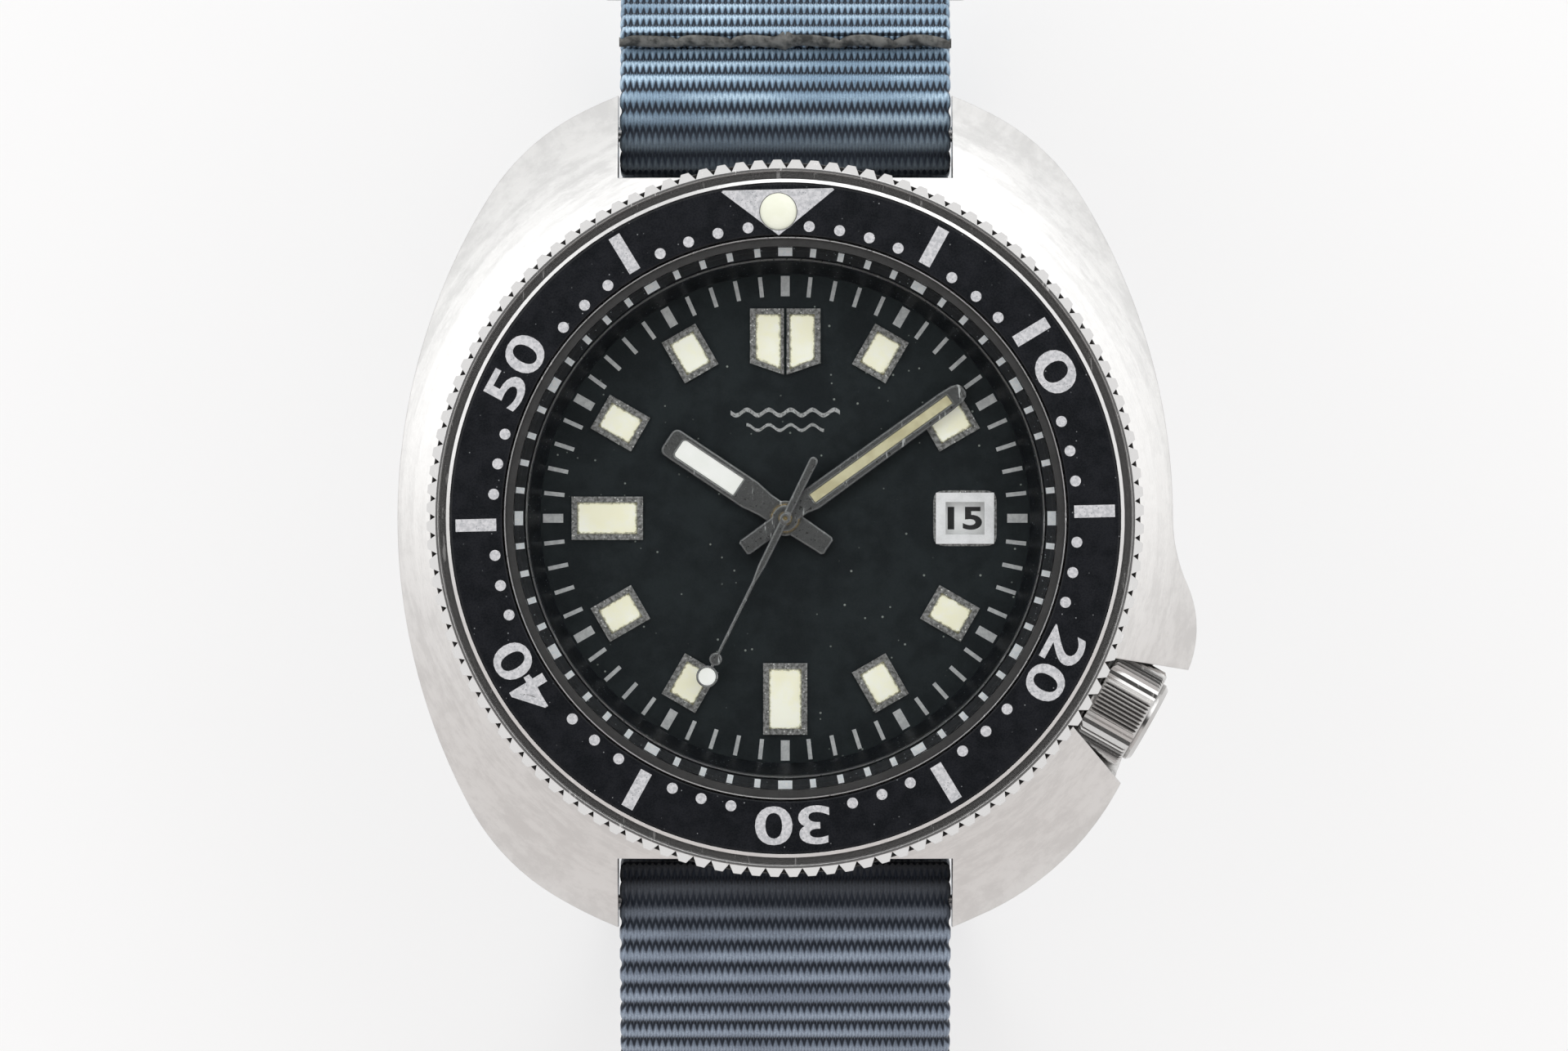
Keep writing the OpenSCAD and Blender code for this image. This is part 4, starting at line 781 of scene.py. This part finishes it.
@dataclass
class DialPrint:
    """Printed tracks on dial and chapter ring, the plain mark above the hands, and the date figures."""

    finishes: Finishes
    ink: float = 0.015
    sunk: float = 0.02
    dial_ticks: tuple[float, ...] = (12.6, 13.75, 0.23, 0.5)
    chapter_ticks: tuple[float, ...] = (14.84, 15.32, 0.34, 0.8)
    chapter_outer: float = 15.5
    chapter_slope: float = 0.15 / 0.7
    edge_inner: float = 14.6
    window_at: float = 10.2

    def track(self, near: float, far: float, thin: float, thick: float, height: Callable[[float], float]) -> Mesh:
        """Sixty ticks, each fifth one thick, with a height worked out from the radius.

        Args:
            near: radius of the ticks' inner ends.
            far: radius of their outer ends.
            thin: width of a minute tick.
            thick: width of a five-minute tick.
            height: surface height at a radius.

        Returns:
            All the ticks in one mesh.
        """
        ticks = []
        for minute in range(60):
            outline = bar_outline(minute * 6, near, far, thick if minute % 5 == 0 else thin)
            radius = np.hypot(outline[:, 0], outline[:, 1])
            level = np.array([height(float(r)) for r in radius])
            ticks.append(loft(stacked([(outline, level + d) for d in (-self.sunk, self.ink)])))
        return joined(ticks)

    def waves(self, level: float) -> Mesh:
        """A plain mark: two wave lines, each a sine carried across with square ends."""
        parts = []
        for row, (half_w, y) in enumerate(((3.1, 6.0), (2.2, 5.15))):
            x = np.linspace(-half_w, half_w, 61)
            mid = y + 0.16 * np.sin(x * TURN / 1.24)
            half_t = 0.12 - 0.03 * row
            low, high = level - self.sunk, level + 0.05 - 0.03 * row
            loops = np.stack([np.column_stack([x, mid + sy * half_t, np.full_like(x, z)])
                for sy, z in ((-1, low), (-1, high), (1, high), (1, low))], 1)
            parts.append(loft(loops))
        return joined(parts)

    def date_figures(self, level: float) -> Mesh:
        """All thirty-one dates around the date ring, the fifteenth upright at three o'clock."""
        days, shown = 31, 15
        height, stroke, two_wide, one_wide = 1.3, 0.05, 1.95, 0.9
        parts = []
        for day in range(1, days + 1):
            points, faces = text_mesh(str(day), height, stroke, two_wide if day > 9 else one_wide)
            a = (day - shown) * TURN / days
            turn = np.array([[math.cos(a), math.sin(a)], [-math.sin(a), math.cos(a)]])
            flat = (points[:, :2] + np.array([self.window_at, 0.0])) @ turn
            parts.append((np.column_stack([flat, np.full(len(flat), level)]), faces))
        return joined(parts)

    def window_shade(self, level: float) -> Mesh:
        """The dark printed line around the date frame: a rounded rectangle ring."""
        power, rise = 2 / 7, 0.04
        inner, outer = (1.62, 1.42), (1.8, 1.58)
        circle = unit_circle(96)
        shape = np.sign(circle) * np.abs(circle) ** power
        order = [(inner, -self.sunk), (outer, -self.sunk), (outer, rise), (inner, rise)]
        return loft(stacked([(shape * half + (self.window_at, 0.0), level + h) for half, h in order]), ring=True)

    def chapter_edge(self, top: float) -> Mesh:
        """The thin bright lip inside the chapter ring's track."""
        depth = 0.2
        inner, crest, outer = (self.edge_inner, 0.02), (14.67, 0.08), (14.74, 0.04)
        order = [(inner[0], -depth), (outer[0], -depth), outer, crest, inner]
        return loft(stacked([(unit_circle(240) * r, top + h) for r, h in order]), ring=True)

    def build(self) -> None:
        """Make and dress each printed piece."""
        dial_top, date_top = top_of("dial"), top_of("date_ring") + self.ink

        def chapter_h(radius: float) -> float:
            """Height of the chapter ring's sloping face at a radius."""
            return top_of("chapter_ring") - self.chapter_slope * (self.chapter_outer - radius)

        pieces = [
            ("dial_track", self.track(*self.dial_ticks, lambda r: dial_top), "case", "dial_black", "track_print"),
            ("chapter_track", self.track(*self.chapter_ticks, chapter_h), "case", "chapter_black", "chapter_print"),
            ("dial_mark", self.waves(dial_top), "case", "marker_metal", "mark_silver"),
            ("window_line", self.window_shade(dial_top), "case", "marker_metal", "aged_frame"),
            ("date_figures", self.date_figures(date_top), "date", "date_white", "figure_black"),
            ("chapter_edge", self.chapter_edge(chapter_h(self.edge_inner)), "case", "steel_polished", "ring_steel"),
        ]
        for name, mesh, body, slot, finish in pieces:
            obj = to_object(name, mesh)
            if name == "date_figures":
                thicken(obj, self.ink + self.sunk)
            finish_piece(obj, body, slot, self.finishes[finish])


# ---- strap ----


@dataclass
class Strap:
    """Ribbed webbing that passes over both spring bars and under the case, and closes at the buckle."""

    finishes: Finishes
    width: float = 18.86
    thickness: float = 1.1
    six_radii: tuple[float, ...] = (10.9, 40.0, 17.0)
    six_turns: tuple[float, ...] = (65.0, 110.0, 180.0)
    twelve_radii: tuple[float, ...] = (4.0, 25.0, 0.0, 17.0)
    twelve_turns: tuple[float, ...] = (48.0, 65.0, 110.0, 180.0)
    buckle_turn: float = 100.0
    tail_end_turn: float = 52.5
    clear: float = 0.3
    bar_r: float = 0.9
    bar_over_back: float = 2.4
    bend_r: float = 1.2
    rib_pitch: float = 1.22
    tooth_pitch: float = 0.36
    tooth_reach: float = 0.17
    rib_depth: float = 0.22
    stitch_gap: float = 3.1
    slot_width: float = 1.9
    slot_reach: tuple[float, float] = (3.2, 5.3)

    def __post_init__(self) -> None:
        """Work out the route from the case back and the bars, with both lower corners at one height."""
        self.back = base_of("case_back")
        self.layer = self.thickness + 0.35
        self.bar = np.array([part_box("spring_bars")[1][1] / MM - self.bar_r - 0.15, self.back + self.bar_over_back])
        self.wrap_r = self.bar_r + self.clear + self.thickness / 2
        self.top = self.bar + [0.0, self.wrap_r]
        sharp, slope, _, corner = self.twelve_radii
        first, second, third = (math.cos(math.radians(t)) for t in self.twelve_turns[:3])
        corner_h = self.centre(self.six_radii, self.six_turns, 2)[1]
        long_r = corner_h - self.top[1] + sharp - (sharp - slope) * first - slope * second + corner * third
        self.twelve_radii = (sharp, slope, long_r / (third - second), corner)
        self.under_h = self.back - self.clear - self.thickness / 2
        self.line = self.route()

    @staticmethod
    def outward(turn: float | np.ndarray) -> np.ndarray:
        """Outward normal in the YZ plane at a turning angle, 0 on top of the loop."""
        a = np.radians(turn)
        return np.stack([np.sin(a), np.cos(a)], -1)

    def arc(self, centre: np.ndarray, radius: float, start: float, end: float, sign: float = 1.0) -> np.ndarray:
        """Points and normals along one arc, 0.05 mm apart: rows of Y, Z, normal Y, normal Z."""
        count = max(3, int(abs(math.radians(end - start)) * abs(radius) / 0.05))
        normal = self.outward(np.linspace(start, end, count))
        return np.hstack([centre + sign * radius * normal, normal])

    def centre(self, radii: Sequence[float], turns: Sequence[float], index: int) -> np.ndarray:
        """Centre of one arc of a side, each arc tangent to the one before it."""
        at = self.top - [0.0, radii[0]]
        for k in range(index):
            at = at + (radii[k] - radii[k + 1]) * self.outward(turns[k])
        return at

    def side(self, twelve: bool, offset: float, start: float, end: float) -> np.ndarray:
        """One side of the loop between two turning angles, offset outwards.

        Args:
            twelve: the side at twelve o'clock, or else the one at six.
            offset: distance outwards from the middle of the strap.
            start: first turning angle, in degrees.
            end: last turning angle.

        Returns:
            Rows of Y, Z, normal Y, normal Z, with Y counted outwards.
        """
        radii, turns = (self.twelve_radii, self.twelve_turns) if twelve else (self.six_radii, self.six_turns)
        parts = []
        for k, (low, high) in enumerate(zip((0.0, *turns[:-1]), turns)):
            if end > low and start < high:
                centre = self.centre(radii, turns, k)
                parts.append(self.arc(centre, radii[k] + offset, max(start, low), min(end, high)))
        return np.vstack(parts)

    def bar_part(self) -> np.ndarray:
        """From the top of the spring bar down beside the case and in under it."""
        over = self.arc(self.bar, self.wrap_r, 0.0, -90.0)
        centre = np.array([self.bar[0] - self.wrap_r - self.bend_r, self.under_h + self.bend_r])
        under = self.arc(centre, self.bend_r, -90.0, 0.0, -1.0)
        return np.vstack([over, under])

    @staticmethod
    def mirrored(part: np.ndarray) -> np.ndarray:
        """The same points on the six o'clock side."""
        return part * np.array([-1.0, 1.0, -1.0, 1.0])

    def route(self) -> np.ndarray:
        """The whole strap in one line, evenly spaced: rows of Y, Z, normal Y, normal Z, distance."""
        low = self.mirrored(self.side(False, 0.0, 90.0, 180.0)) - np.array([0.0, self.layer, 0.0, 0.0])
        line = np.vstack([self.side(True, 0.0, 0.0, self.buckle_turn)[::-1], self.bar_part(),
            self.mirrored(self.bar_part()[::-1]), self.mirrored(self.side(False, 0.0, 0.0, 90.0)), low,
            self.side(True, self.layer, self.tail_end_turn, 180.0)[::-1]])
        steps = np.hypot(*np.diff(line[:, :2], axis=0).T)
        line = line[np.concatenate([[True], steps > 1e-6])]
        at = np.concatenate([[0.0], np.cumsum(np.hypot(*np.diff(line[:, :2], axis=0).T))])
        return np.column_stack([line, at])

    def sampled(self, at: np.ndarray) -> np.ndarray:
        """The line's point and unit normal at each distance."""
        rows = np.column_stack([np.interp(at, self.line[:, 4], self.line[:, k]) for k in range(4)])
        rows[:, 2:] /= np.hypot(rows[:, 2], rows[:, 3])[:, None]
        return rows

    def rib(self, along: np.ndarray, across: np.ndarray) -> np.ndarray:
        """How full the weave is, 0 in the zigzag gap between two ribs to 1 on a rib.

        The gap's line is shifted along the strap by a triangle wave across it.
        """
        tooth = np.abs((across / self.tooth_pitch) % 1.0 - 0.5)
        phase = (along / self.rib_pitch + (tooth - 0.25) * 4 * self.tooth_reach) % 1.0
        gap = np.minimum(phase, 1 - phase)
        t = np.clip((gap - 0.04) / 0.28, 0.0, 1.0)
        return t * t * (3 - 2 * t)

    def stretch(self, start: float, end: float, per_rib: int, columns: int,
                sides: tuple[float, float]) -> tuple[Mesh, np.ndarray]:
        """One length of strap as a closed band.

        Each cross-section is a flat loop whose top and bottom sink into the gaps between ribs,
        and whose edges bulge at each rib; it is carried along the line square to its normal.

        Args:
            start: distance along the strap's line where this length starts.
            end: distance where it ends.
            per_rib: rows of points for each rib.
            columns: points across the top of the whole width.
            sides: where the band's two edges are, across the strap.

        Returns:
            The mesh and one UV pair a vertex, in millimetres.
        """
        low, high = sides[0] + 0.3, sides[1] - 0.3
        columns = max(8, round(columns * (sides[1] - sides[0]) / self.width))
        rows = max(4, int(round((end - start) / self.rib_pitch * per_rib)) + 1)
        at = np.linspace(start, end, rows)
        line = self.sampled(at)
        half_w, half_t = self.width / 2, self.thickness / 2
        top_x = np.linspace(high, low, columns)
        under_x = np.linspace(low, high, max(24, columns // 4))
        bend = np.radians([65.0, 35.0, 0.0, -35.0, -65.0])
        edge_x, edge_n = np.cos(bend) * 0.3, np.sin(bend)
        x = np.concatenate([top_x, low - edge_x, under_x, high + edge_x])
        level = np.concatenate([np.ones(len(top_x)), edge_n, -np.ones(len(under_x)), edge_n[::-1]])
        full = self.rib(at[:, None], x[None, :])
        rounded = self.rib(at, np.full(1, self.tooth_pitch * 0.25))
        x_rows = x[None, :] * (1 - 0.012 * (1 - rounded[:, None]) * (np.abs(x) > half_w - 0.31))
        lift = level[None, :] * (half_t - self.rib_depth * (1 - full) * np.abs(level) ** 2)
        y = line[:, 0, None] + line[:, 2, None] * lift
        z = line[:, 1, None] + line[:, 3, None] * lift
        uv = np.stack(np.broadcast_arrays(x[None, :], at[:, None]), -1).reshape(-1, 2)
        return loft(np.stack([x_rows, y, z], -1)), np.vstack([uv, [[0, start], [0, end]]])

    def length(self, start: float, end: float, per_rib: int, columns: int,
               slots: list[tuple[float, float]]) -> tuple[Mesh, np.ndarray]:
        """One length of strap, in two halves wherever the buckle's tongue has a slot to pass through.

        Args:
            start, end, per_rib, columns: as in stretch().
            slots: the start and end distance of each slot.

        Returns:
            The mesh and one UV pair a vertex, in millimetres.
        """
        ends = sorted({start, end, *(min(max(d, start), end) for slot in slots for d in slot)})
        half_w, half_s = self.width / 2, self.slot_width / 2
        parts = []
        for low, high in zip(ends[:-1], ends[1:]):
            split = any(first < (low + high) / 2 < last for first, last in slots)
            spans = [(-half_w, -half_s), (half_s, half_w)] if split else [(-half_w, half_w)]
            parts += [self.stretch(low, high, per_rib, columns, span) for span in spans]
        return joined([mesh for mesh, _ in parts]), np.vstack([uv for _, uv in parts])

    def nearest(self, y: float, low: float, high: float) -> float:
        """Distance along the line where it reaches a given Y between two distances."""
        span = self.line[(self.line[:, 4] >= low) & (self.line[:, 4] <= high)]
        return float(span[np.abs(span[:, 0] - y).argmin(), 4])

    def sealed_tip(self) -> Mesh:
        """The melted edge at the tail's tip: an oval bead carried across, pinched at each stitch."""
        end = self.sampled(self.line[-1:, 4])[0]
        x = np.linspace(-self.width / 2 - 0.05, self.width / 2 + 0.05, 241)
        pinch = np.abs(np.sin(x / self.stitch_gap * math.pi)) ** 0.3
        knot = np.exp(-((x / 0.38) ** 2))
        bulge = 0.5 + 0.45 * pinch + 0.75 * knot
        tip_y = end[0] + 0.3 * (pinch - 1) + 0.05 * np.sin(x * 1.9) + 0.15 * knot
        tangent = np.array([-end[3], end[2]])
        ring = unit_circle(16) @ np.array([tangent * 0.2, end[2:4] * 0.42])
        y = tip_y[:, None] + ring[:, 0] * bulge[:, None]
        z = end[1] + ring[:, 1] * bulge[:, None]
        return loft(np.stack(np.broadcast_arrays(x[:, None], y, z), -1))

    def build(self) -> None:
        """Make the lengths of strap and the sealed tip, and dress them."""
        total = self.line[-1, 4]
        bar_12 = self.nearest(self.bar[0], 0.0, total * 0.4)
        under = self.nearest(0.0, bar_12, total * 0.6)
        bar_6 = self.nearest(-self.bar[0], under, total * 0.6)
        snap = lambda d: round(d / self.rib_pitch) * self.rib_pitch
        seen, hidden, tail, tip = 12.5, 4.0, 60.0, 6.0
        cuts = [0.0, snap(bar_12 - seen), snap(bar_12 + hidden), snap(bar_6 - hidden), snap(bar_6 + seen),
            snap(total - tail), snap(total - tip), total]
        outer = self.line[self.line[:, 4] > total * 0.6]
        at_buckle = outer[np.hypot(*(outer[:, :2] - self.line[0, :2]).T).argmin(), 4]
        before, after = self.slot_reach
        slots = [(0.0, before), (at_buckle - after, at_buckle + before)]
        names = ["strap_inner_end", "strap_twelve", "strap_under_case", "strap_six", "strap_base", "strap_tail",
            "strap_tip"]
        fine = {"strap_twelve", "strap_six", "strap_tip"}
        for k, name in enumerate(names):
            per_rib, columns = (12, 310) if name in fine else (7, 70)
            mesh, uv = self.length(cuts[k], cuts[k + 1], per_rib, columns, slots)
            obj = to_object(name, mesh, smooth=True, uv=uv)
            finish_piece(obj, "case", "strap_nylon", self.finishes["ribbed_nylon"])
            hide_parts("strap_band")
        tip = to_object("strap_sealed_edge", self.sealed_tip(), smooth=True)
        finish_piece(tip, "case", "strap_nylon", self.finishes["sealed_edge"])


def main() -> None:
    """Build the studio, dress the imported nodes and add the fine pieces."""
    logging.basicConfig(level=logging.INFO, format="%(name)s: %(message)s")
    Studio().build()
    finishes = Finishes()
    dress_nodes(finishes)
    BezelMarks(finishes).build()
    DialPrint(finishes).build()
    Strap(finishes).build()


if __name__ == "__main__":
    main()
